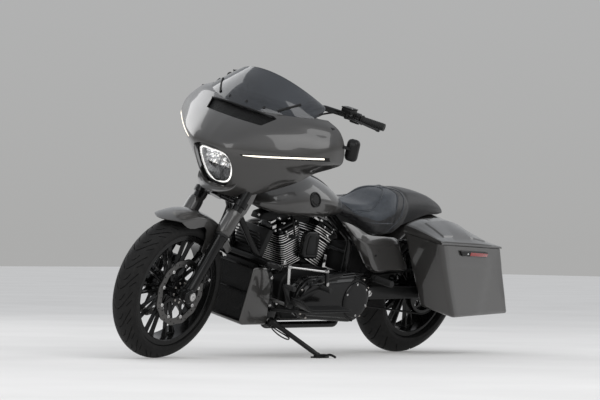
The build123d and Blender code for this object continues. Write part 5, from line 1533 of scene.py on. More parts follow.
# %% [markdown]
# ## Front fender
#
# The fender is one pressed sheet that hugs the tyre. Its nose is short and rounded, its side swells down in
# a soft wave, and a tongue drops along each fork leg to bolt on. One table gives how deep the side hangs at
# each angle round the axle. The sheet is laid over those sections, mirrored and thickened inwards.

# %% Fender
# columns: angle from straight ahead, depth of the side below the crown
FENDER_SIDE = [(64, 20), (68, 32), (73, 45), (78, 57), (84, 66), (90, 69), (96, 64), (101, 58), (105, 62),
               (109, 92), (113, 160),
               (119, 166), (125, 160), (129, 98), (134, 66), (141, 58), (147, 50), (150, 34)]


def fender_row(angle, depth, columns=17):
    """Half a section, from the middle of the crown over the shoulder and down the side."""
    crown_r = 355 + 6 * min(1.0, max(0.0, (angle - 78) / 20))
    shoulder = radians(76)
    row = []
    for k in range(columns):
        u = k / (columns - 1)
        if u < 0.6:
            t = u / 0.6 * shoulder
            y, r = 79 * sin(t) / sin(shoulder), crown_r - 20 * (1 - cos(t)) / (1 - cos(shoulder))
        else:
            v = (u - 0.6) / 0.4
            y, r = 79 + 2.0 * sin(min(v * 4, 1) * pi / 2) - v, crown_r - 20 - max(depth - 20, 1) * v
        if angle < 88:
            swing = 9 * (y / 80) ** 2 * ((88 - angle) / 24) ** 1.5
        else:
            swing = -5 * (y / 80) ** 2 * max(0.0, (angle - 146) / 4)
        a = radians(angle + swing)
        row.append((1625 + r * cos(a), y, 320 + r * sin(a)))
    return row


fender_rows = []
for (a0, d0), (a1, d1) in zip(FENDER_SIDE, FENDER_SIDE[1:]):
    steps = max(2, round((a1 - a0) / 1.5))
    for k in range(steps):
        s = k / steps
        s2 = s * s * (3 - 2 * s)
        fender_rows.append(fender_row(a0 + (a1 - a0) * s, d0 + (d1 - d0) * s2))
fender_rows.append(fender_row(*FENDER_SIDE[-1]))
fender = sheet_of("front_fender_shell", fender_rows)
worked(fender, "MIRROR", use_axis=(False, True, False), use_clip=True, merge_threshold=0.0004)
top_face = max(fender.data.polygons, key=lambda p: p.center.z)
if top_face.normal.z < 0:
    fender.data.flip_normals()
worked(fender, "SOLIDIFY", thickness=0.0035, offset=-1.0, use_even_offset=False)
smoothed(finished(fender, paint), 40)
set_down(fender, "fork", "body_paint", "front_fender")
bolts = []
for distance in (215, 262):
    spot = on_leg(distance, 81)
    bolts.append(bolt_head("bolt", spot, (0, 1, 0), 7, 4))
    bolts.append(turned("stand_off", [(0, 9), (7, 9), (7.5, 7), (7.5, 0)], on_leg(distance, 79.5),
                        (0, 1, 0), 20))
fender_bolts = smoothed(finished(mirrored_pair(joined("fender_bolts", *bolts), "fender_bolts"),
                                 black_metal), 35)
set_down(fender_bolts, "fork", "black_metal")

# %% Brake hose and wing panels
hoses = [bent("brake_hose_" + label, [(1402, side * 56, 790), (1424, side * 72, 730),
                                      (1452, side * 78, 640), (1478, side * 62, 560),
                                      (1500, side * 72, 470), (1500, side * 84, 420)], 4.5, 4) for side,
         label in ((1, "left"), (-1, "right"))]
hose = smoothed(finished(joined("brake_hoses", *hoses), rubber), 60)
set_down(hose, "fork", "black_plastic")
wing = pressed("fork_wing", [(1402, 646), (1412, 700), (1392, 776), (1336, 806), (1296, 800), (1322, 742),
                             (1352, 690)], 118, 124)
wing = rounded(wing, 2.2, 3)
wings = smoothed(finished(mirrored_pair(wing, "fork_wings"), paint), 35)
set_down(wings, "fork", "body_paint")
# %% [markdown]
# ## The vee twin
#
# Two finned cylinders lean away from each other on a dark crankcase. The fins are what makes the engine
# read as an engine: thin black plates whose outer edges are machined bright. One fin is pressed from a
# rounded outline and its rim faces get the bright finish; the stack is copies of it. Barrel, head and
# rocker box are built upright on the bench and then leaned, once forwards and once back.

# %% Cylinders
CRANK = (860, 0, 300)


def plan_outline(half_x, half_y, corner, steps=6):
    """A rectangle with round corners, as (x, y) points."""
    points = []
    for sx, sy, start in ((1, 1, 0), (-1, 1, 90), (-1, -1, 180), (1, -1, 270)):
        for k in range(steps + 1):
            t = radians(start + 90 * k / steps)
            points.append((sx * (half_x - corner) + corner * cos(t),
                           sy * (half_y - corner) + corner * sin(t)))
    return points


def rim_bright(piece, rim, face):
    """Give the upright faces of a plate one finish and its flat faces another."""
    finished(piece, face, rim)
    for polygon in piece.data.polygons:
        polygon.material_index = 1 if abs(polygon.normal.z) < 0.5 else 0
    return piece


def plate_at(name, half_x, half_y, corner, low, high, soften=0.6):
    piece = pressed(name, plan_outline(half_x, half_y, corner), low, high, "z")
    return rounded(piece, soften, 1, 50) if soften else piece


def cylinder_piece(name, lean):
    parts = []
    fin = rim_bright(plate_at("fin", 66, 75, 30, 163, 166.4, 0), fin_edge, cast_black)
    parts += [fin] + [copied(fin, "fin", (0, 0, 10.8 * k)) for k in range(1, 11)]
    head_fin = rim_bright(plate_at("fin", 70, 77, 26, 288, 291.4, 0), fin_edge, cast_black)
    parts += [head_fin] + [copied(head_fin, "fin", (0, 0, 10.8 * k)) for k in range(1, 4)]
    barrel = turned("barrel", [(140, 0), (140, 52), (160, 54), (283, 54), (283, 0)], (0, 0, 0), (0, 0, 1), 48)
    head = plate_at("head", 56, 62, 22, 283, 327, 2)
    lower_box = plate_at("rocker_base", 69, 77, 24, 328, 341, 2.5)
    upper_box = plate_at("rocker_top", 60, 68, 24, 341, 362, 7)
    dark = [barrel, head, lower_box, upper_box]
    for x, y in ((52, 62), (-52, 62), (52, -62), (-52, -62)):
        dark.append(turned("bolt_tower", [(0, 8.5), (12, 8.5), (14, 6.5), (14, 0)], (x, y, 336), (0, 0, 1),
                           20))
    for part in dark:
        finished(part, gloss_black if "rocker" in part.name else cast_black)
    bright = [bolt_head("bolt", (x, y, 350), (0, 0, 1), 5.5, 5) for x,
              y in ((52, 62), (-52, 62), (52, -62), (-52, -62))]
    bright += [bolt_head("bolt", (x, 77, 334.5), (0, 1, 0), 5, 4) for x in (-30, 30)]
    plug_x = 20 if lean > 0 else -20
    bright.append(turned("plug_body", [(0, 11), (8, 11), (10, 8), (20, 8), (20, 0)], (plug_x, 74, 306),
                         (0, 1, 0.25), 6))
    for part in bright:
        finished(part, polished)
    cap = finished(turned("plug_cap", [(0, 9), (14, 10), (24, 8), (34, 6), (34, 0)], (plug_x, 90, 310),
                          (0, 1, 0.25), 24), grip_rubber)
    piece = joined(name, *parts, *dark, *bright, cap)
    piece.data.transform(Matrix.Translation(Vector(CRANK) * MM) @ Matrix.Rotation(radians(lean), 4, "Y"))
    return smoothed(piece, 35)


set_down(cylinder_piece("front_cylinder", 22.5), "chassis", "engine_black", "cylinder_front")
set_down(cylinder_piece("rear_cylinder", -22.5), "chassis", "engine_black", "cylinder_rear")

# %% [markdown]
# ## Crankcase, primary case and covers
#
# The left side is the long primary case with its round access cover and a ring of small bright bolts. A
# case half is a pressed outline whose rim is bevelled generously, as a casting is. Ribs and the raised
# band on its top edge are separate thin castings that sit on it.

# %% Crankcase
def case_outline(grow=0.0):
    points = [(1005, 262), (1005, 372), (955, 438), (780, 438), (745, 408), (606, 408), (590, 300),
              (606, 214), (650, 192), (950, 192)]
    middle = Vector((800, 310))
    return [tuple(Vector(p) + (Vector(p) - middle).normalized() * grow) for p in points]


case = rounded(pressed("crankcase", case_outline(-1), -96, 96), 10, 3)
flange = rounded(pressed("flange", case_outline(5), -7, 7), 2, 2)
tower = [rounded(pressed("deck", [(x - 62, 400), (x + 62, 400), (x + 54, 446), (x - 54, 446)], -70, 70), 6,
                 2) for x in (800, 920)]
sump_fins = [block("rib", (830 + 26 * k, 0, 192), (8, 150, 14), None, 2) for k in range(-6, 7)]
pan = rounded(pressed("oil_pan", [(640, 176), (1040, 176), (1052, 190), (1040, 214), (640, 214),
                                  (628, 196)], -92, 60), 7, 2)
inner_case = rounded(pressed("inner_case", [(770, 250), (950, 250), (950, 390), (770, 390)], 95, 126), 4, 2)
crankcase = finished(joined("crankcase", case, flange, *tower, *sump_fins, pan, inner_case), cast_black)
set_down(smoothed(crankcase, 32), "chassis", "engine_black", "engine_case")

# %% Primary case
def case_loop(grow, count=36):
    """The outline of the primary case: a belt round its two ends, grown or shrunk."""
    loop = []
    rise = 0.0593
    for x, r, start, stop in ((613, 112, 90, 270), (900, 95, 270, 450)):
        for k in range(count + 1):
            t = radians(start + (stop - start) * k / count) - (rise if start == 90 and k == 0 else 0)
            loop.append((x + (r + grow) * cos(t), 316 + (r + grow) * sin(t)))
    return loop


def stepped_case(name, levels, steps=36):
    """A casting of nested outlines: (growth, y) from the back to the front, closed over at both ends."""
    sections = [[(x, y, z) for x, z in case_loop(grow, steps)] for grow, y in levels]
    return lofted(name, sections)


primary = stepped_case("primary_case", [(-2, 128), (0, 131), (0, 190), (-2, 196), (-7, 200), (-15, 201),
                                        (-19, 205), (-24, 212), (-34, 215), (-60, 215.5)])
rim = stepped_case("rim", [(1.5, 168), (3, 170), (3, 178), (1.5, 180)])
boss = turned("boss", [(0, 96), (4, 95), (7, 90), (7, 86), (5, 84), (5, 0)], (613, 209, 316), (0, 1, 0), 72)
finished(primary, gloss_black)
finished(rim, gloss_black)
finished(boss, gloss_black)
band = [Vector(p) for p in ((986, 340), (936, 366), (880, 397), (800, 418), (722, 430))]
sections = []
for k, p in enumerate(line_between([(v.x, v.y, 0) for v in band], 12)):
    wide = 11 + 4 * sin(pi * k / 11)
    sections.append([(p.x, 196, p.y - wide), (p.x, 207, p.y - wide * 0.7), (p.x, 210, p.y),
                     (p.x, 207, p.y + wide * 0.7), (p.x, 196, p.y + wide)])
raised = finished(lofted("band", sections), gloss_black)
small_bolts = []
for k in range(13):
    t = k / 13
    x, z = case_loop(-8, 18)[round(t * 37)]
    small_bolts.append(finished(bolt_head("bolt", (x, 200, z), (0, 1, 0), 5.0, 6),
                                gold_bolt if k % 3 else black_metal))
primary_piece = joined("primary_case", primary, rim, boss, raised, *small_bolts)
set_down(smoothed(primary_piece, 34), "chassis", "engine_black", "primary_cover")

# %% Round covers and horn cover
derby = turned("derby_cover", [(0, 84), (3, 84), (6.5, 81), (8, 76), (8.4, 60), (9, 0)], (613, 216, 316),
               (0, 1, 0), 72)
derby_bolts = [bolt_head("bolt", (613 + 74 * cos(t), 222, 316 + 74 * sin(t)), (0, 1, 0), 5.2, 5)
               for t in (radians(20 + 60 * k) for k in range(6))]
gear = turned("gear_cover", [(0, 92), (18, 92), (27, 88), (31, 80), (33, 60), (33, 0)], (870, -100.5, 330),
              (0, -1, 0), 64)
gear_bolts = [bolt_head("bolt", (870 + 82 * cos(t), -129, 330 + 82 * sin(t)), (0, -1, 0), 5, 5)
              for t in (radians(36 * k) for k in range(10))]
horn = rounded(pressed("horn_cover", [(808, 478), (900, 478), (912, 500), (908, 586), (896, 606),
                                      (828, 606), (812, 590), (804, 500)], 76, 110), 11, 4)
horn_rim = rounded(pressed("horn_rim", [(826, 498), (884, 498), (892, 514), (889, 574), (880, 588),
                                        (838, 588), (828, 574), (822, 512)], 108, 114), 2.5, 2)
covers = [finished(derby, gloss_black), finished(gear, gloss_black), finished(horn, gloss_black),
          finished(horn_rim, black_metal)]
covers += [finished(b, polished) for b in derby_bolts + gear_bolts]
set_down(smoothed(joined("round_covers", *covers), 32), "chassis", "engine_black", "engine_covers")

# %% [markdown]
# ## Small engine parts
#
# Between the castings there is always something: pushrod tubes, plug leads, oil lines, the lifter blocks
# and a few bright brackets. They are bent tubes and small bevelled blocks. Each is plain, but together
# they fill the engine with the right bustle of highlights.

# %% Tubes, leads and brackets
def leaned(lean, across, y, up):
    """A point given along a leaning cylinder: across it, out from the middle, and up from the crank."""
    a = radians(lean)
    return Vector((860 + across * cos(a) + up * sin(a), y, 300 - across * sin(a) + up * cos(a)))


tubes = []
for lean in (22.5, -22.5):
    for across in (-16, 18):
        tubes.append(rod("pushrod_tube", (860 + lean * 2.2 + across, -106, 420),
                         leaned(lean, across * 1.6, -66, 330), 9, 20, 8))
        tubes.append(rod("collar", (860 + lean * 2.2 + across, -106, 420),
                         (860 + lean * 2.4 + across, -105, 444), 13, 20, 11))
tube_set = smoothed(finished(joined("pushrod_tubes", *tubes), black_metal), 40)
set_down(tube_set, "chassis", "black_metal")
leads = [bent("lead", [leaned(22.5, 20, 122, 322), (1040, 140, 622), (1020, 118, 660), (985, 60, 672)], 4.2),
         bent("lead", [leaned(-22.5, -20, 122, 322), (752, 138, 612), (790, 120, 652), (830, 60, 668)], 4.2),
         bent("oil_line", [(1000, 60, 300), (1040, 76, 260), (1060, 80, 215), (1010, 88, 200)], 6),
         bent("wire_loom", [(1290, 34, 660), (1216, 60, 560), (1160, 90, 470), (1120, 100, 400),
                            (1105, 104, 330)], 7)]
lead_set = smoothed(finished(joined("plug_leads", *leads), rubber), 60)
set_down(lead_set, "chassis", "black_plastic")
BRACKETS = [((1128, 84, 646), (34, 14, 10), 20), ((1114, 86, 622), (26, 12, 16), 18),
            ((1086, 84, 660), (20, 10, 8), -30),
            ((846, 90, 664), (40, 14, 9), -22), ((812, 92, 656), (22, 16, 9), -22),
            ((1056, 88, 640), (14, 14, 8), 10)]
bits = [block("bracket", centre, size, Matrix.Rotation(radians(turn), 4, "Y"), 2) for centre, size,
        turn in BRACKETS]
bits += [bolt_head("bolt", (x, 84, z), (0, 1, 0), 5.5, 7) for x,
         z in ((1100, 604), (1024, 660), (872, 674), (778, 668), (1230, 676))]
bits.append(bolt_head("bolt", (1046, 128, 468), (0, 1, 0), 10, 8))
bracket_set = smoothed(finished(joined("engine_brackets", *bits), polished), 35)
set_down(bracket_set, "chassis", "polished")
mount = rounded(pressed("engine_mount", [(820, 628), (1150, 640), (1140, 668), (1060, 690), (820, 682)],
                        -34, 34), 6, 2)
mounts = [mount, block("regulator", (1158, 0, 505), (34, 176, 210), Matrix.Rotation(radians(-20), 4, "Y"), 6)]
mounts += [block("regulator_fin", (1142 + 5.4 * k, 0, 424 + 15 * k), (20, 168, 5),
                 Matrix.Rotation(radians(-20), 4, "Y"), 1.5) for k in range(12)]
mount_set = smoothed(finished(joined("engine_mount", *mounts), cast_black), 35)
set_down(mount_set, "chassis", "engine_black")

# %% Air cleaner and exhaust
cleaner = turned("air_cleaner_cover", [(0, 62), (20, 70), (22, 84), (60, 84), (66, 80), (100, 72),
                                       (107, 60), (108, 30), (105, 26), (105, 0)], (848, -77.5, 560),
                 (0, -1, 0), 72)
cleaner_bolts = [bolt_head("bolt", (848 + 42 * cos(t), -184, 560 + 42 * sin(t)), (0, -1, 0), 5, 5)
                 for t in (radians(90 + 120 * k) for k in range(3))]
set_down(smoothed(joined("air_cleaner_cover", finished(cleaner, gloss_black),
                         *[finished(b, polished) for b in cleaner_bolts]), 32), "chassis", "black_metal",
         "air_cleaner")
pipes = [bent("header", [(985, -88, 596), (1020, -140, 590), (1037, -160, 560), (1037, -160, 400),
                         (1035, -160, 240), (1020, -160, 208), (960, -160, 205),
                         (700, -160, 205), (520, -160, 205), (478, -190, 214), (440, -232, 226),
                         (392, -236, 227)], 20, 4, 8),
         bent("header", [(700, -88, 560), (668, -140, 552), (655, -160, 525), (655, -160, 400),
                         (655, -160, 225)], 20, 4, 8)]
shields = [bent("heat_shield", [(1039, -163, 540), (1039, -164, 400), (1037, -164, 270)], 24, 3, 8),
           bent("heat_shield", [(657, -164, 500), (657, -164, 400), (657, -164, 270)], 24, 3, 8)]
shields.append(bent("heat_shield", [(900, -166, 214), (700, -166, 214), (560, -166, 214)], 20, 3, 8))
for part in pipes:
    finished(part, dark_steel)
for part in shields:
    finished(part, gloss_black)
clips = []
for a, b in (((1039, -163, 500), (1039, -163, 492)), ((1037, -164, 300), (1037, -164, 292)),
             ((657, -164, 460), (657, -164, 452)), ((900, -165, 206), (892, -165, 206)),
             ((600, -165, 206), (592, -165, 206))):
    clips.append(finished(rod("clamp", a, b, 25.2, 32), polished))
set_down(smoothed(joined("exhaust_headers", *pipes, *shields, *clips), 45), "chassis", "black_metal",
         "exhaust_pipes")
MUFF = (0, -236, 227)
muffler_shape = [(-352, 33), (-352, 38), (-346, 42), (-280, 43), (300, 43), (340, 38), (372, 26), (400, 24),
                 (400, 18), (340, 20), (-200, 20), (-202, 33), (-352, 33)]
muffler = finished(turned("muffler_can", muffler_shape, MUFF, (1, 0, 0), 56), gloss_black)
tip = finished(turned("tip", [(-358, 34), (-360, 38), (-358, 43.5), (-300, 44.5), (-296, 43), (-296, 42),
                              (-350, 42), (-354, 34), (-358, 34)], MUFF, (1, 0, 0), 56), dark_steel)
hanger = finished(block("hanger", (60, -236, 262), (60, 8, 24), None, 2), black_metal)
set_down(smoothed(joined("muffler_can", muffler, tip, hanger), 38), "chassis", "black_metal", "muffler")
# %% [markdown]
# ## Hand controls
#
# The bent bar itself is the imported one. On it sit ribbed rubber grips, switch housings, a fluid reservoir
# with a screwed lid, and flat curved levers with a ball end. Everything is laid out along the grip's own
# line, so that left and right are one set and its mirror image.

# %% Grips, housings and levers
BAR_BEND, BAR_END = Vector((1004, 288, 1189)), Vector((952, 452, 1180))
GRIP_DIR = (BAR_END - BAR_BEND).normalized()
grip_start = BAR_END - GRIP_DIR * 104
profile = [(0, 13.2), (0, 20.5), (3, 22), (7, 22), (9, 17)]
for k in range(11):
    profile += [(12 + 8.6 * k, 17.6), (16 + 8.6 * k, 17.6), (17.4 + 8.6 * k, 16.0), (19.4 + 8.6 * k, 16.0)]
profile += [(110, 17.4), (112, 15.5), (112.5, 0)]
grip = finished(turned("grip_left", profile, grip_start, GRIP_DIR, 40), grip_rubber)
housing_start = BAR_BEND + GRIP_DIR * 20
lever_pivot = housing_start + GRIP_DIR * 10 + Vector((52, 0, 6))
housing = turned("housing", [(-1, 13), (-1, 22), (2, 25), (18, 25.5), (20, 24), (22, 24), (24, 25.5),
                             (40, 25), (43, 22), (43, 13)], housing_start, GRIP_DIR, 40)
pod = block("pod", housing_start + GRIP_DIR * 21 + Vector((-18, 0, -4)), (26, 36, 34), None, 6, 3)
collar = turned("collar", [(0, 13), (0, 18), (10, 18.5), (12, 17), (12, 13)], housing_start - GRIP_DIR * 14,
                GRIP_DIR, 32)
perch = rod("perch", housing_start + GRIP_DIR * 12, lever_pivot, 13, 24, 10)
knuckle = turned("knuckle", [(-14, 0), (-14, 10), (-12, 12), (12, 12), (14, 10), (14, 0)], lever_pivot,
                 (0, 0, 1), 24)
reservoir = block("reservoir", lever_pivot + Vector((-2, 6, 23)), (44, 60, 22), None, 5, 3)
cap = block("cap", lever_pivot + Vector((-2, 6, 36)), (46, 62, 6), None, 2.5, 2)
body_parts = [housing, pod, collar, perch, knuckle, reservoir, cap]
for part in body_parts:
    finished(part, black_metal)
screws = [bolt_head("screw", lever_pivot + Vector((-2 + a * 17, 6 + b * 25, 38.5)), (0, 0, 1), 3.2, 2)
          for a in (1, -1) for b in (1, -1)]
screws.append(bolt_head("screw", lever_pivot + Vector((0, 0, 14)), (0, 0, 1), 6, 3))
buttons = [block("button", housing_start + GRIP_DIR * (12 + 9 * k) + Vector((-31, 0, 4 - 7 * (k % 2))),
                 (5, 7, 6), None, 1.5) for k in range(3)]
for part in screws:
    finished(part, polished)
for part in buttons:
    finished(part, grip_rubber)
tip = lever_pivot + GRIP_DIR * 150 + Vector((-22, 0, -22))
sections = []
for k, (t, wide, thick, bow) in enumerate(((0.0, 10, 6, 0), (0.08, 11, 5.5, 4), (0.2, 8.5, 5, 9),
                                           (0.45, 7.5, 4.5, 12), (0.7, 7.5, 4.5, 9), (0.88, 7, 5, 3),
                                           (0.94, 8.5, 7.5, 1), (0.98, 7, 6.5, 0), (1.0, 3, 3, 0))):
    centre = lever_pivot.lerp(tip, t) + Vector((bow, 0, 0))
    sections.append([centre + Vector((wide * cos(a), 0, thick * sin(a)))
                     for a in (2 * pi * j / 10 for j in range(10))])
lever = finished(lofted("lever", sections), gloss_black)
cable = finished(bent("control_cable", [lever_pivot + Vector((4, -10, 2)),
                                        lever_pivot + Vector((6, -50, 6)), Vector((1100, 215, 1175)),
                                        Vector((1180, 150, 1120)), Vector((1240, 110, 1030))], 4), rubber)
control = smoothed(joined("hand_control_left", *body_parts, *screws, *buttons, lever, cable), 35)
for piece, nodes, slot in ((smoothed(grip, 30), ["grips"], "grip_rubber"),
                           (control, ["hand_controls"], "black_metal")):
    twin = copied(piece, piece.name.replace("left", "right"), mirror=True)
    set_down(piece, "fork", slot, *nodes)
    set_down(twin, "fork", slot)

# %% Mirrors
turn_out = Matrix.Rotation(radians(12), 4, "Z")
sections = []
for back, scale, lift in ((15, 0.40, 0), (13.5, 0.68, 0), (9, 0.88, 0), (0, 0.99, 0), (-12, 1.0, 0),
                          (-15, 0.965, 0), (-14, 0.90, 0)):
    sections.append([Vector((1132, 448, 1070)) + turn_out @ Vector((back, a * scale, b * scale)) for a,
                     b in plan_outline(29, 49, 20)])
shell = finished(lofted("shell", sections), black_metal)
glass = [Vector((1132, 448, 1070)) + turn_out @ Vector((-14.6, a * 0.9, b * 0.9)) for a,
         b in plan_outline(29, 49, 20)]
pane = finished(lofted("pane", [glass, [p + turn_out @ Vector((0.5, 0, 0)) for p in glass]]), chrome)
stalk = finished(bent("stalk", [(1182, 426, 1079), (1166, 436, 1079), (1150, 443, 1076), (1136, 448, 1073)],
                      8, 3), black_metal)
foot = finished(turned("foot", [(0, 15), (5, 14), (8, 9), (8, 0)], (1178, 427, 1079), (-0.75, 0.6, -0.1),
                       28), black_metal)
mirror_left = smoothed(joined("mirror_left", shell, pane, stalk, foot), 35)
mirror_right = copied(mirror_left, "mirror_right", mirror=True)
set_down(mirror_left, "fork", "black_metal", "mirrors")
set_down(mirror_right, "fork", "black_metal")

# %% [markdown]
# ## Dash
#
# The rider sees a black panel behind the screen: a wide display, two small gauges and a speaker at each
# end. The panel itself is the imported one. The instruments stand a few millimetres proud of it, each with
# a rim from the lathe and a face with its own finish.

# %% Instruments
dial = Finish("dial face", Coat_Weight=0.9, Specular_IOR_Level=0.5)
glimmer = dial.noise(40.0, 2.0)
dial.feed("Base Color", dial.ramp(glimmer, (0.3, (0.006, 0.007, 0.009)), (0.8, (0.014, 0.016, 0.020))))
dial.feed("Roughness", glimmer * 0.05 + 0.06)
instruments = [finished(block("display_rim", (1203, 0, 1075), (10, 210, 128), None, 5, 3), black_plastic),
               finished(block("display", (1198.5, 0, 1077), (4, 184, 102), None, 1.5, 2), dial)]
for y, z, r in ((-248, 1108, 33), (248, 1108, 33)):
    instruments.append(finished(turned("gauge_rim", [(0, r + 6), (8, r + 5), (10, r + 2), (10, r - 1),
                                                     (5, r - 2)], (1206.5, y, z), (-1, 0, 0), 48), polished))
    instruments.append(finished(turned("gauge_face", [(5, r - 1), (6, r * 0.6), (6, 0)], (1206.5, y, z),
                                       (-1, 0, 0), 48), dial))
    needle = pressed("needle", [(y - 1.2, z - 6), (y + 1.2, z - 6), (y + 0.5, z + r * 0.75),
                                (y - 0.5, z + r * 0.75)], 1199, 1200, "x")
    instruments.append(finished(needle, red_lens))
for y in (-322, 322):
    instruments.append(finished(turned("speaker_rim", [(0, 62), (6, 60), (8, 56), (8, 52), (3, 50)],
                                       (1206.5, y, 1030), (-1, 0, 0), 56), black_plastic))
    instruments.append(finished(turned("speaker_mesh", [(3, 51), (9, 30), (11, 0)], (1206.5, y, 1030),
                                       (-1, 0, 0), 56), mesh_finish))
dash = smoothed(joined("dash_instruments", *instruments), 40)
set_down(dash, "fork", "black_plastic")

# %% [markdown]
# ## Footboards, pegs and pedals
#
# A footboard is a rubber pad on a thin plate that turns up at its toe. Sections along its length give the
# curve, and ribs of rubber follow the same curve. The shift rod runs over it in bright steel, between two
# flat arms with round ends. A flat arm is a belt outline round two circles, pressed and rounded.

# %% Footboards
BOARD_PATH = [(782, 300), (800, 300), (900, 300), (1000, 300), (1052, 301), (1080, 311), (1104, 329),
              (1122, 343)]


def board_sections(y_low, y_high, low, high, taper=1.0):
    sections = []
    for k, (x, z) in enumerate(BOARD_PATH):
        pinch = 14 * taper if k in (0, len(BOARD_PATH) - 1) else 0
        tilt = 0.0 if k < 5 else 0.62
        up = Vector((-sin(tilt), 0, cos(tilt)))
        a, b = Vector((x, y_low + pinch, z)), Vector((x, y_high - pinch, z))
        sections.append([a + up * low, b + up * low, b + up * high, a + up * high])
    return sections


board = finished(rounded(lofted("footboard", board_sections(266, 352, -6, -1)), 1.5, 2), black_metal)
pad = finished(rounded(lofted("pad", board_sections(270, 348, -1, 3)), 1.2, 2), grip_rubber)
ribs = [finished(lofted("rib", board_sections(275 + 11.5 * k, 280 + 11.5 * k, 3, 6.5, 0.05)), grip_rubber)
        for k in range(7)]
arm = finished(bent("board_arm", [(1086, 124, 250), (1074, 182, 262), (1020, 300, 286), (930, 309, 289),
                                  (830, 309, 290)], 8.5, 3), black_metal)
board_left = joined("footboard_left", board, pad, *ribs, arm)
peg_profile = [(0, 12), (2, 15)] + [p for k in range(9) for p in ((4 + 10.5 * k, 15.5),
    (9 + 10.5 * k, 15.5), (10 + 10.5 * k, 13.4), (13 + 10.5 * k, 13.4))] + [(99, 15.5), (102, 14),
        (103, 10), (103, 0)]
peg = finished(turned("peg", peg_profile, (478, 201, 410), (0, 1, 0), 32), grip_rubber)
clevis = finished(rounded(pressed("clevis", [(462, 396), (494, 396), (500, 410), (494, 426), (462, 426),
                                             (456, 410)], 184, 201), 3, 2), black_metal)
rest_left = smoothed(joined("foot_rests_left", board_left, peg, clevis), 35)
rest_right = copied(rest_left, "foot_rests_right", mirror=True)
set_down(rest_left, "chassis", "black_metal", "footrests")
set_down(rest_right, "chassis", "black_metal")


# %% Pedals and shift rod
def flat_arm(name, a, b, ra, rb, y_low, y_high, soften=1.5):
    """A flat lever with round ends, pressed from a belt outline round its two pivots."""
    (ax, az), (bx, bz) = a, b
    heading = atan2(bz - az, bx - ax)
    outline = [(ax + ra * cos(heading + t), az + ra * sin(heading + t))
               for t in (pi / 2 + pi * k / 10 for k in range(11))]
    outline += [(bx + rb * cos(heading + t), bz + rb * sin(heading + t))
                for t in (-pi / 2 + pi * k / 10 for k in range(11))]
    return rounded(pressed(name, outline, y_low, y_high), soften, 2)


shift = [finished(flat_arm("arm", (1093, 300), (1129, 474), 12, 8, 228, 236), black_metal),
         finished(flat_arm("arm", (1112, 392), (1129, 474), 8, 8, 236, 239), polished),
         finished(flat_arm("arm", (867, 455), (852, 395), 8, 11, 230, 240), black_metal),
         finished(rod("shift_rod", (1129, 234, 474), (867, 234, 452), 5, 20), polished),
         finished(rod("rod_end", (1136, 234, 475), (1112, 234, 472.6), 7.5, 6), steel),
         finished(rod("rod_end", (884, 234, 453.4), (862, 234, 451.5), 7.5, 6), steel),
         finished(rod("cross_shaft", (1093, 126, 300), (1093, 252, 300), 8, 24), steel),
         finished(rod("cross_shaft", (852, 217, 395), (852, 242, 395), 9, 24), steel)]
shift += [finished(flat_arm("pedal", (1093, 300), (1150, 392), 12, 8, 244, 252), black_metal),
          finished(flat_arm("pedal", (1093, 300), (905, 384), 12, 8, 246, 254), black_metal)]
toe = [(0, 9), (1, 11)] + [p for k in range(5) for p in ((3 + 10 * k, 11.5), (8 + 10 * k, 11.5),
                                                         (9 + 10 * k, 9.8), (12 + 10 * k, 9.8))] + [(56,
                                                             11.5), (59, 10), (60, 0)]
shift += [finished(turned("toe_peg", toe, (1150, 254, 392), (0, 1, 0), 28), grip_rubber),
          finished(turned("heel_peg", toe, (905, 252, 384), (0, 1, 0), 28), grip_rubber)]
shift += [finished(bolt_head("bolt", (x, 238, z), (0, 1, 0), 6, 6), polished) for x,
          z in ((1129, 474), (867, 455))]
brake = [finished(rod("brake_shaft", (1093, -126, 300), (1093, -252, 300), 8, 24), steel),
         finished(flat_arm("brake_arm", (1093, 300), (1150, 392), 13, 9, -258, -248), black_metal),
         finished(rounded(pressed("brake_pad", [(1126, 386), (1174, 394), (1172, 408), (1124, 400)], -310,
                                  -248), 3, 2), grip_rubber)]
set_down(smoothed(joined("foot_levers", *shift, *brake), 35), "chassis", "polished", "foot_controls")

# %% [markdown]
# ## Chin spoiler, guard bar and side stand
#
# Ahead of the engine hangs a painted scoop with a mesh across its mouth, and over it runs a thick guard
# bar. The side stand is a round leg with a foot that lies flat on the floor, a return spring beside it and
# a short tail that points outwards, which the rider's foot pushes.

# %% Chin spoiler
chin = rounded(pressed("chin_scoop", [(1253, 448), (1284, 200), (1268, 184), (1106, 184), (1112, 290),
                                      (1120, 368), (1168, 448)], -150, 150), 11, 4)
carved(chin, pressed("bore", [(1330, 500), (1320, 200), (1050, 200), (1050, 500)], -141, 141))
smoothed(finished(chin, paint), 35)
set_down(chin, "chassis", "body_paint", "chin_spoiler")
grille = finished(pressed("grille", [(1236, 444), (1264, 196), (1258, 196), (1230, 444)], -141, 141),
                  mesh_finish)
bars = [finished(block("bar", (1253, 0, 330), (7, 282, 7), None, 2), gloss_black),
        finished(block("bar", (1238, 0, 440), (9, 282, 10), None, 2), gloss_black),
        finished(block("bar", (1266, 0, 202), (9, 282, 10), None, 2), gloss_black)]
set_down(smoothed(joined("chin_mesh", grille, *bars), 35), "chassis", "black_plastic", "chin_grille")

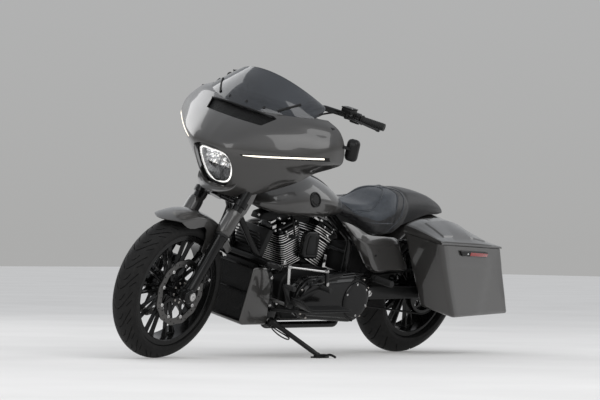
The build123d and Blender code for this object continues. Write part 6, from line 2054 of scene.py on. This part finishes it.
# %% Guard bar
guard_line = line_between([(1103, 126, 426), (1116, 172, 446), (1150, 192, 462), (1182, 168, 470),
                           (1190, 110, 472), (1192, 0, 473)], 26)
guard_line = guard_line + [Vector((p.x, -p.y, p.z)) for p in guard_line[-2::-1]]
sections = []
for k, p in enumerate(guard_line):
    ahead = (guard_line[min(k + 1, len(guard_line) - 1)] - guard_line[max(k - 1, 0)]).normalized()
    side = ahead.cross(Vector((0, 0, 1))).normalized()
    up = side.cross(ahead)
    tall = 13 + 8 * min(1.0, max(0.0, (196 - abs(p.y)) / 90)) * (1 if p.x > 1140 else 0.2)
    sections.append([p + side * 13 * cos(a) + up * tall * sin(a)
                     for a in (2 * pi * j / 16 for j in range(16))])
guard = finished(lofted("guard_bar_tube", sections), gloss_black)
set_down(smoothed(guard, 60), "chassis", "black_metal", "guard_bar")
down_bracket = rounded(pressed("down_bracket", [(1050, 182), (1112, 182), (1134, 230), (1120, 330),
                                                (1140, 420), (1118, 430), (1084, 330), (1050, 300),
                                                (1036, 262)], 127, 135), 2.5, 2)
bracket_bolts = [finished(bolt_head("bolt", (x, 135, z), (0, 1, 0), 8, 6), polished) for x,
                 z in ((1096, 270), (1054, 282), (1120, 400), (1090, 205))]
bracket_left = joined("down_bracket_left", finished(down_bracket, gloss_black), *bracket_bolts)
set_down(smoothed(copied(bracket_left, "down_bracket_right", mirror=True), 35), "chassis", "black_metal")
set_down(smoothed(bracket_left, 35), "chassis", "black_metal")

# %% Side stand
STAND_PIVOT, STAND_FOOT = Vector((1088, 160, 204)), Vector((958, 368, 96.8))
FLOOR_UP = (CHASSIS.to_3x3().transposed() @ Vector((0, 0, 1))).normalized()
leg_dir = (STAND_FOOT - STAND_PIVOT).normalized()
hinge = leg_dir.cross(Vector((-262, 30, -18)).normalized()).normalized()
leg = turned("leg", [(4, 0), (4, 15), (20, 16), (34, 12), (60, 11), (225, 11), (246, 10), (258, 12),
                     ((STAND_FOOT - STAND_PIVOT).length - 2, 9),
                     ((STAND_FOOT - STAND_PIVOT).length - 2, 0)], STAND_PIVOT, leg_dir, 28)
barrel = turned("barrel", [(-11, 7.6), (-11, 16), (11, 16), (11, 7.6), (-11, 7.6)], STAND_PIVOT, hinge, 32)
foot = joined("foot", pressed("foot", plan_outline(44, 24, 14), 0, 7, "z"),
              pressed("foot_block", plan_outline(32, 16, 12), 5, 17, "z"))
side_axis = FLOOR_UP.cross(Vector((1, 0, 0))).normalized()
lay = Matrix((side_axis.cross(FLOOR_UP), side_axis, FLOOR_UP)).transposed().to_4x4()
foot.data.transform(Matrix.Translation((STAND_FOOT - FLOOR_UP * 5.6) * MM) @ lay)
tail = bent("tail", [STAND_FOOT + Vector((-4, 14, 4)), STAND_FOOT + Vector((-6, 40, 20)),
                     STAND_FOOT + Vector((-8, 62, 24)), STAND_FOOT + Vector((-10, 82, 19))], 5.5, 3)
below = (-FLOOR_UP + leg_dir * FLOOR_UP.dot(leg_dir)).normalized()
loop = [STAND_PIVOT + leg_dir * 18 + below * 26, STAND_PIVOT + leg_dir * 60 + below * 32,
        STAND_PIVOT + leg_dir * 104 + below * 26, STAND_PIVOT + leg_dir * 112 + below * 16,
        STAND_PIVOT + leg_dir * 100 + below * 13, STAND_PIVOT + leg_dir * 50 + below * 18,
        STAND_PIVOT + leg_dir * 14 + below * 18]
spring = bent("spring", loop, 3.2, 3, 4, True)
stand = smoothed(finished(joined("stand_leg", leg, barrel, rounded(foot, 1.5, 2), tail, spring),
                          black_metal), 38)
set_down(stand, "side_stand", "black_metal", "side_stand")
# %% [markdown]
# ## Rear end
#
# Behind the engine come the swingarm, the toothed belt with its pulley, the coil shocks, the rear fender,
# and the lamp and plate. The swingarm is pressed and rounded, the shock's coil is a bent wire, and the
# belt is a band between two loops with teeth on the inside.

# %% Rear fender
REAR_CROWN = 356.0
rows = []
for k in range(73):
    angle = 25 + 143 * k / 72
    drop = 52 - 26 * max(0.0, (33 - angle) / 8) ** 2 - 26 * max(0.0, (angle - 160) / 8) ** 2
    row = []
    for j in range(15):
        u = j / 14
        if u < 0.6:
            t = u / 0.6
            y, r = 103 * sin(t * 1.35) / sin(1.35), REAR_CROWN - 20 * (1 - cos(t * 1.35)) / (1 - cos(1.35))
        else:
            y, r = 103 + 1.2 * sin((u - 0.6) / 0.4 * pi), REAR_CROWN - 20 - (drop - 18) * (u - 0.6) / 0.4
        row.append((r * cos(radians(angle)), y, 328 + r * sin(radians(angle))))
    rows.append(row)
tail_fender = sheet_of("rear_fender_shell", rows)
worked(tail_fender, "MIRROR", use_axis=(False, True, False), use_clip=True, merge_threshold=0.0004)
if max(tail_fender.data.polygons, key=lambda p: p.center.z).normal.z < 0:
    tail_fender.data.flip_normals()
worked(tail_fender, "SOLIDIFY", thickness=0.0035, offset=-1.0)
set_down(smoothed(finished(tail_fender, paint), 40), "chassis", "body_paint", "rear_fender")

# %% Swingarm
arm_outline = [(-38, 318), (-38, 340), (-26, 352), (30, 354), (70, 356), (428, 362), (462, 358), (482, 344),
               (482, 318), (462, 304), (428, 298), (70, 301), (30, 304), (-26, 305)]
arms = []
for side in (1, -1):
    low, high = (132, 156) if side > 0 else (-156, -132)
    arms.append(finished(rounded(pressed("arm", arm_outline, low, high), 6, 3), black_metal))
    arms.append(finished(rounded(pressed("adjuster", [(-30, 312), (30, 312), (36, 328), (30, 344),
                                                      (-30, 344), (-36, 328)], side * 156, side * 159), 1,
                                 1), steel))
    arms.append(finished(bolt_head("axle_nut", (0, side * 168, 328), (0, side, 0), 19, 10), polished))
    arms.append(finished(bolt_head("pivot_cap", (455, side * 159, 330), (0, side, 0), 16, 6), polished))
arms.append(finished(rod("cross_tube", (402, -134, 330), (402, 134, 330), 20, 32), black_metal))
set_down(smoothed(joined("swingarm_arms", *arms), 34), "chassis", "black_metal", "swingarm")

# %% Shocks
foot, head = Vector((72, 172, 330)), Vector((170, 172, 574))
line = (head - foot).normalized()
length = (head - foot).length
body = turned("shock_body", [(0, 0), (0, 12), (30, 13), (34, 19), (40, 22), (46, 22), (48, 15), (150, 15),
                             (200, 13), (206, 22), (214, 22), (220, 17), (236, 15), (length, 12),
                             (length, 0)], foot, line, 32)
across = line.cross(Vector((0, 1, 0))).normalized()
coil_points = []
for k in range(10 * 12 + 1):
    t = k / 12
    place = foot + line * (46 + 160 * k / 120)
    coil_points.append(place + across * 19 * cos(2 * pi * t) + Vector((0, 1, 0)) * 19 * sin(2 * pi * t))
coil = bent("coil", coil_points, 3.6, 3, 2)
eyes = [turned("eye", [(-24, 0), (-24, 13), (-21, 15), (12, 15), (15, 13), (15, 0)], p, (0, 1, 0), 28)
        for p in (foot + Vector((0, 6, 0)), head + Vector((0, -2, 0)))]
caps = [bolt_head("bolt", p + Vector((0, y, 0)), (0, 1, 0), 8, 6) for p, y in ((foot, 20), (head, 12))]
for part in [body, *eyes]:
    finished(part, black_metal)
shock = joined("shock_left", body, finished(coil, gloss_black), *eyes, *[finished(c, polished) for c in caps])
other = copied(shock, "shock_right", mirror=True)
set_down(smoothed(shock, 40), "chassis", "black_metal", "shocks")
set_down(smoothed(other, 40), "chassis", "black_metal")


# %% Belt and pulleys
def belt_line(front_r, rear_r, count):
    """A loop round the two pulleys, evenly stepped on each arc."""
    rise = (rear_r - front_r) / 680
    loop = []
    for k in range(count + 1):
        t = -pi / 2 + rise + (pi - 2 * rise) * k / count
        loop.append(Vector((680 + front_r * cos(t), front_r * sin(t))))
    for k in range(1, 24):
        loop.append(loop[count].lerp(Vector((rear_r * sin(rise), rear_r * cos(rise))), k / 24))
    for k in range(count * 2 + 1):
        t = pi / 2 - rise + (pi + 2 * rise) * k / (count * 2)
        loop.append(Vector((rear_r * cos(t), rear_r * sin(t))))
    last = loop[-1].copy()
    for k in range(1, 24):
        loop.append(last.lerp(loop[0], k / 24))
    return loop


belt = finished(band_plate("belt", belt_line(49, 115, 20), belt_line(43, 109, 20), (0, 328), 101, 125),
                rubber)
front_sprocket = finished(turned("front_sprocket", [(100.5, 0), (100.5, 44), (103, 46), (104, 42),
                                                    (122, 42), (123, 46), (125, 44), (125, 24), (121, 22),
                                                    (121, 0)], (680, 0, 328), (0, 1, 0), 48), black_metal)
set_down(smoothed(joined("belt_and_sprocket", belt, front_sprocket), 40), "chassis", "black_plastic",
         "drive_belt")
pulley = turned("pulley", [(92.5, 14), (92.5, 108), (95, 111), (97, 111), (97.5, 107.5), (124, 107.5),
                           (124.3, 94), (101, 92), (101, 44), (112, 40), (112, 14), (92.5, 14)],
                (0, 0, 328), (0, 1, 0), 96)
holes = joined("holes", *[rod("hole", (68 * cos(t), 88, 328 + 68 * sin(t)),
                              (68 * cos(t), 118, 328 + 68 * sin(t)), 15, 24)
                          for t in (2 * pi * k / 5 for k in range(5))])
carved(pulley, holes)
pulley_bolts = [finished(bolt_head("bolt", (33 * cos(t), 112, 328 + 33 * sin(t)), (0, 1, 0), 5.5, 5),
                         polished) for t in (2 * pi * (k + 0.5) / 5 for k in range(5))]
set_down(smoothed(joined("rear_pulley_wheel", finished(pulley, gloss_black), *pulley_bolts), 35),
         "rear_wheel", "black_metal", "rear_pulley")

# %% Rear caliper and battery box
caliper = rounded(pressed("rear_caliper_block", [(66, 425), (96, 422), (140, 425), (158, 448), (164, 470),
                                                 (148, 490), (130, 500), (92, 496), (60, 490), (56, 456)],
                          -125, -80), 5, 3)
carved(caliper, pressed("slot", [(0, 380), (140, 380), (134, 440), (96, 472), (40, 486), (0, 486)], -101,
                        -88.5))
mount = rounded(pressed("mount", [(22, 353), (88, 357), (110, 430), (70, 430)], -131, -112), 3, 2)
extras = [bolt_head("bolt", (x, -125, z), (0, -1, 0), 7, 5) for x, z in ((84, 480), (140, 462), (110, 440))]
set_down(smoothed(joined("rear_caliper_block", finished(joined("body", caliper, mount), gloss_black),
                         *[finished(b, polished) for b in extras]), 34), "chassis", "black_metal",
         "rear_caliper")
box = rounded(pressed("battery_case", [(373, 401), (555, 401), (555, 512), (548, 529), (380, 529),
                                       (373, 512)], -53, 53), 5, 2)
straps = [block("strap", (x, 0, 465), (14, 110, 131), None, 2) for x in (410, 510)]
terminal = [block("terminal", (465 + 30 * k, 20, 533), (14, 12, 8), None, 2) for k in (-1, 1)]
set_down(smoothed(finished(joined("battery_case", box, *straps, *terminal), black_plastic), 35), "chassis",
         "black_plastic", "battery_box")

# %% Tail lamp and plate
rows = []
for x, wide, tall, shift in ((-304, 58, 16, 0), (-318, 62, 19, 0), (-340, 65, 21, 0), (-350, 62, 19, 0),
                             (-354, 55, 14, 0)):
    rows.append([(x, a, 486 + b) for a, b in plan_outline(wide, tall, min(tall - 1, 13))])
lamp = lofted("tail_lamp", rows[:3])
glow = lofted("tail_lens", rows[2:])
carved(lamp, rod("room", (0, -90, 328), (0, 90, 328), 357, 160))
set_down(smoothed(finished(lamp, black_plastic), 40), "chassis", "black_plastic")
set_down(smoothed(finished(glow, red_lens), 40), "chassis", "red_lens")
blank_plate = rounded(pressed("number_plate", [(a, 388 + b) for a, b in plan_outline(90, 55, 8)], -373.5,
                              -370.5, "x"), 0.8, 1)
frame_strip = joined("frame_strip", *[block("strip", (-372.5, y, z), size, None, 1.5) for y, z,
                                      size in ((0, 441, (7, 184, 6)), (0, 335, (7, 184, 6)),
                                               (90, 388, (7, 6, 112)), (-90, 388, (7, 6, 112)))])
bracket = rounded(pressed("plate_arm", [(-370, 380), (-370, 420), (-342, 430), (-336, 380)], -30, 30), 3, 2)
light = block("plate_light", (-366, 0, 452), (26, 60, 14), None, 4, 3)
carved(bracket, rod("room", (0, -90, 328), (0, 90, 328), 357, 160))
plate_bolts = [finished(bolt_head("bolt", (-373.5, y, 424), (-1, 0, 0), 5, 3), polished) for y in (-40, 40)]
set_down(smoothed(joined("number_plate", finished(blank_plate, steel), finished(frame_strip, black_plastic),
                         finished(bracket, black_metal), finished(light, black_plastic), *plate_bolts), 35),
         "chassis", "black_metal", "plate")
# %% [markdown]
# ## Stage, light and camera
#
# A pale floor and a plain world keep the object readable. Four large soft lamps give long highlights
# along the bodywork, as big studio panels do. The camera stands about fifteen metres away with a long
# lens, low down, ahead of the machine and to its left.

# %% Stage
FLOOR_SIZE = 60.0
bpy.ops.mesh.primitive_plane_add(size=FLOOR_SIZE, location=(0, 0, -0.001))
floor = bpy.context.object
floor.name = "floor"
ground = Finish("pale floor", Specular_IOR_Level=0.0, Emission_Color=(1.0, 0.99, 0.97, 1.0),
                Emission_Strength=0.16)
patch = ground.noise(1.2, 4.0)
ground.feed("Base Color", ground.ramp(patch, (0.3, grey(0.60, 0.01)), (0.7, grey(0.66, 0.01))))
ground.feed("Roughness", patch * 0.1 + 0.75)
floor.data.materials.append(ground.material)

world = bpy.data.worlds.new("plain world")
bpy.context.scene.world = world
world.use_nodes = True
tree = world.node_tree
tree.nodes.clear()
where = tree.nodes.new("ShaderNodeTexCoord")
split = tree.nodes.new("ShaderNodeSeparateXYZ")
tree.links.new(where.outputs["Generated"], split.inputs[0])
sky = tree.nodes.new("ShaderNodeValToRGB")
tree.links.new(split.outputs["Z"], sky.inputs["Fac"])
for element, (position, colour) in zip(sky.color_ramp.elements,
                                       ((0.0, (0.46, 0.46, 0.455, 1)), (0.6, (0.70, 0.72, 0.75, 1)))):
    element.position = position
    element.color = colour
soft = tree.nodes.new("ShaderNodeBackground")
tree.links.new(sky.outputs["Color"], soft.inputs["Color"])
soft.inputs["Strength"].default_value = 0.9
tree.links.new(soft.outputs[0], tree.nodes.new("ShaderNodeOutputWorld").inputs["Surface"])

# %% Lamps
# columns: name, place, aim, size, watts
LAMPS = [
    ("key panel", (2.2, 4.5, 4.2), (0.0, 0.0, 0.7), 4.0, 100),
    ("front panel", (6.5, 1.0, 3.0), (0.6, 0.0, 0.8), 3.4, 70),
    ("rear panel", (-4.5, 2.5, 3.2), (-0.5, 0.0, 0.6), 3.4, 45),
    ("far panel", (0.5, -5.0, 3.8), (0.0, 0.0, 0.8), 4.0, 80),
]
for name, place, aim, size, watts in LAMPS:
    bpy.ops.object.light_add(type="AREA", location=place)
    lamp = bpy.context.object
    lamp.name = name
    lamp.data.size = size
    lamp.data.energy = watts
    lamp.rotation_euler = (Vector(aim) - Vector(place)).to_track_quat("-Z", "Y").to_euler()
print(len(LAMPS), "lamps")

# %% Camera
CAMERA_FROM_ORIGIN = Vector((11.635, 9.778, 0.530))
CAMERA_YAW, CAMERA_PITCH, CAMERA_ROLL = radians(-138.25), radians(0.70), radians(0.78)
look = Vector((cos(CAMERA_YAW) * cos(CAMERA_PITCH), sin(CAMERA_YAW) * cos(CAMERA_PITCH), sin(CAMERA_PITCH)))
right = look.cross(Vector((0, 0, 1))).normalized()
above = right.cross(look)
level_right, level_up = right.copy(), above.copy()
right = level_right * cos(CAMERA_ROLL) + level_up * sin(CAMERA_ROLL)
above = level_up * cos(CAMERA_ROLL) - level_right * sin(CAMERA_ROLL)
bpy.ops.object.camera_add()
camera = bpy.context.object
camera.data.sensor_width = 36.0
camera.data.lens = 191.0
eye = Vector((bench_origin.x, bench_origin.y, 0)) + CAMERA_FROM_ORIGIN
camera.matrix_world = Matrix.Translation(eye) @ Matrix((right, above, -look)).transposed().to_4x4()
bpy.context.scene.camera = camera
bpy.context.scene.view_settings.view_transform = "Standard"
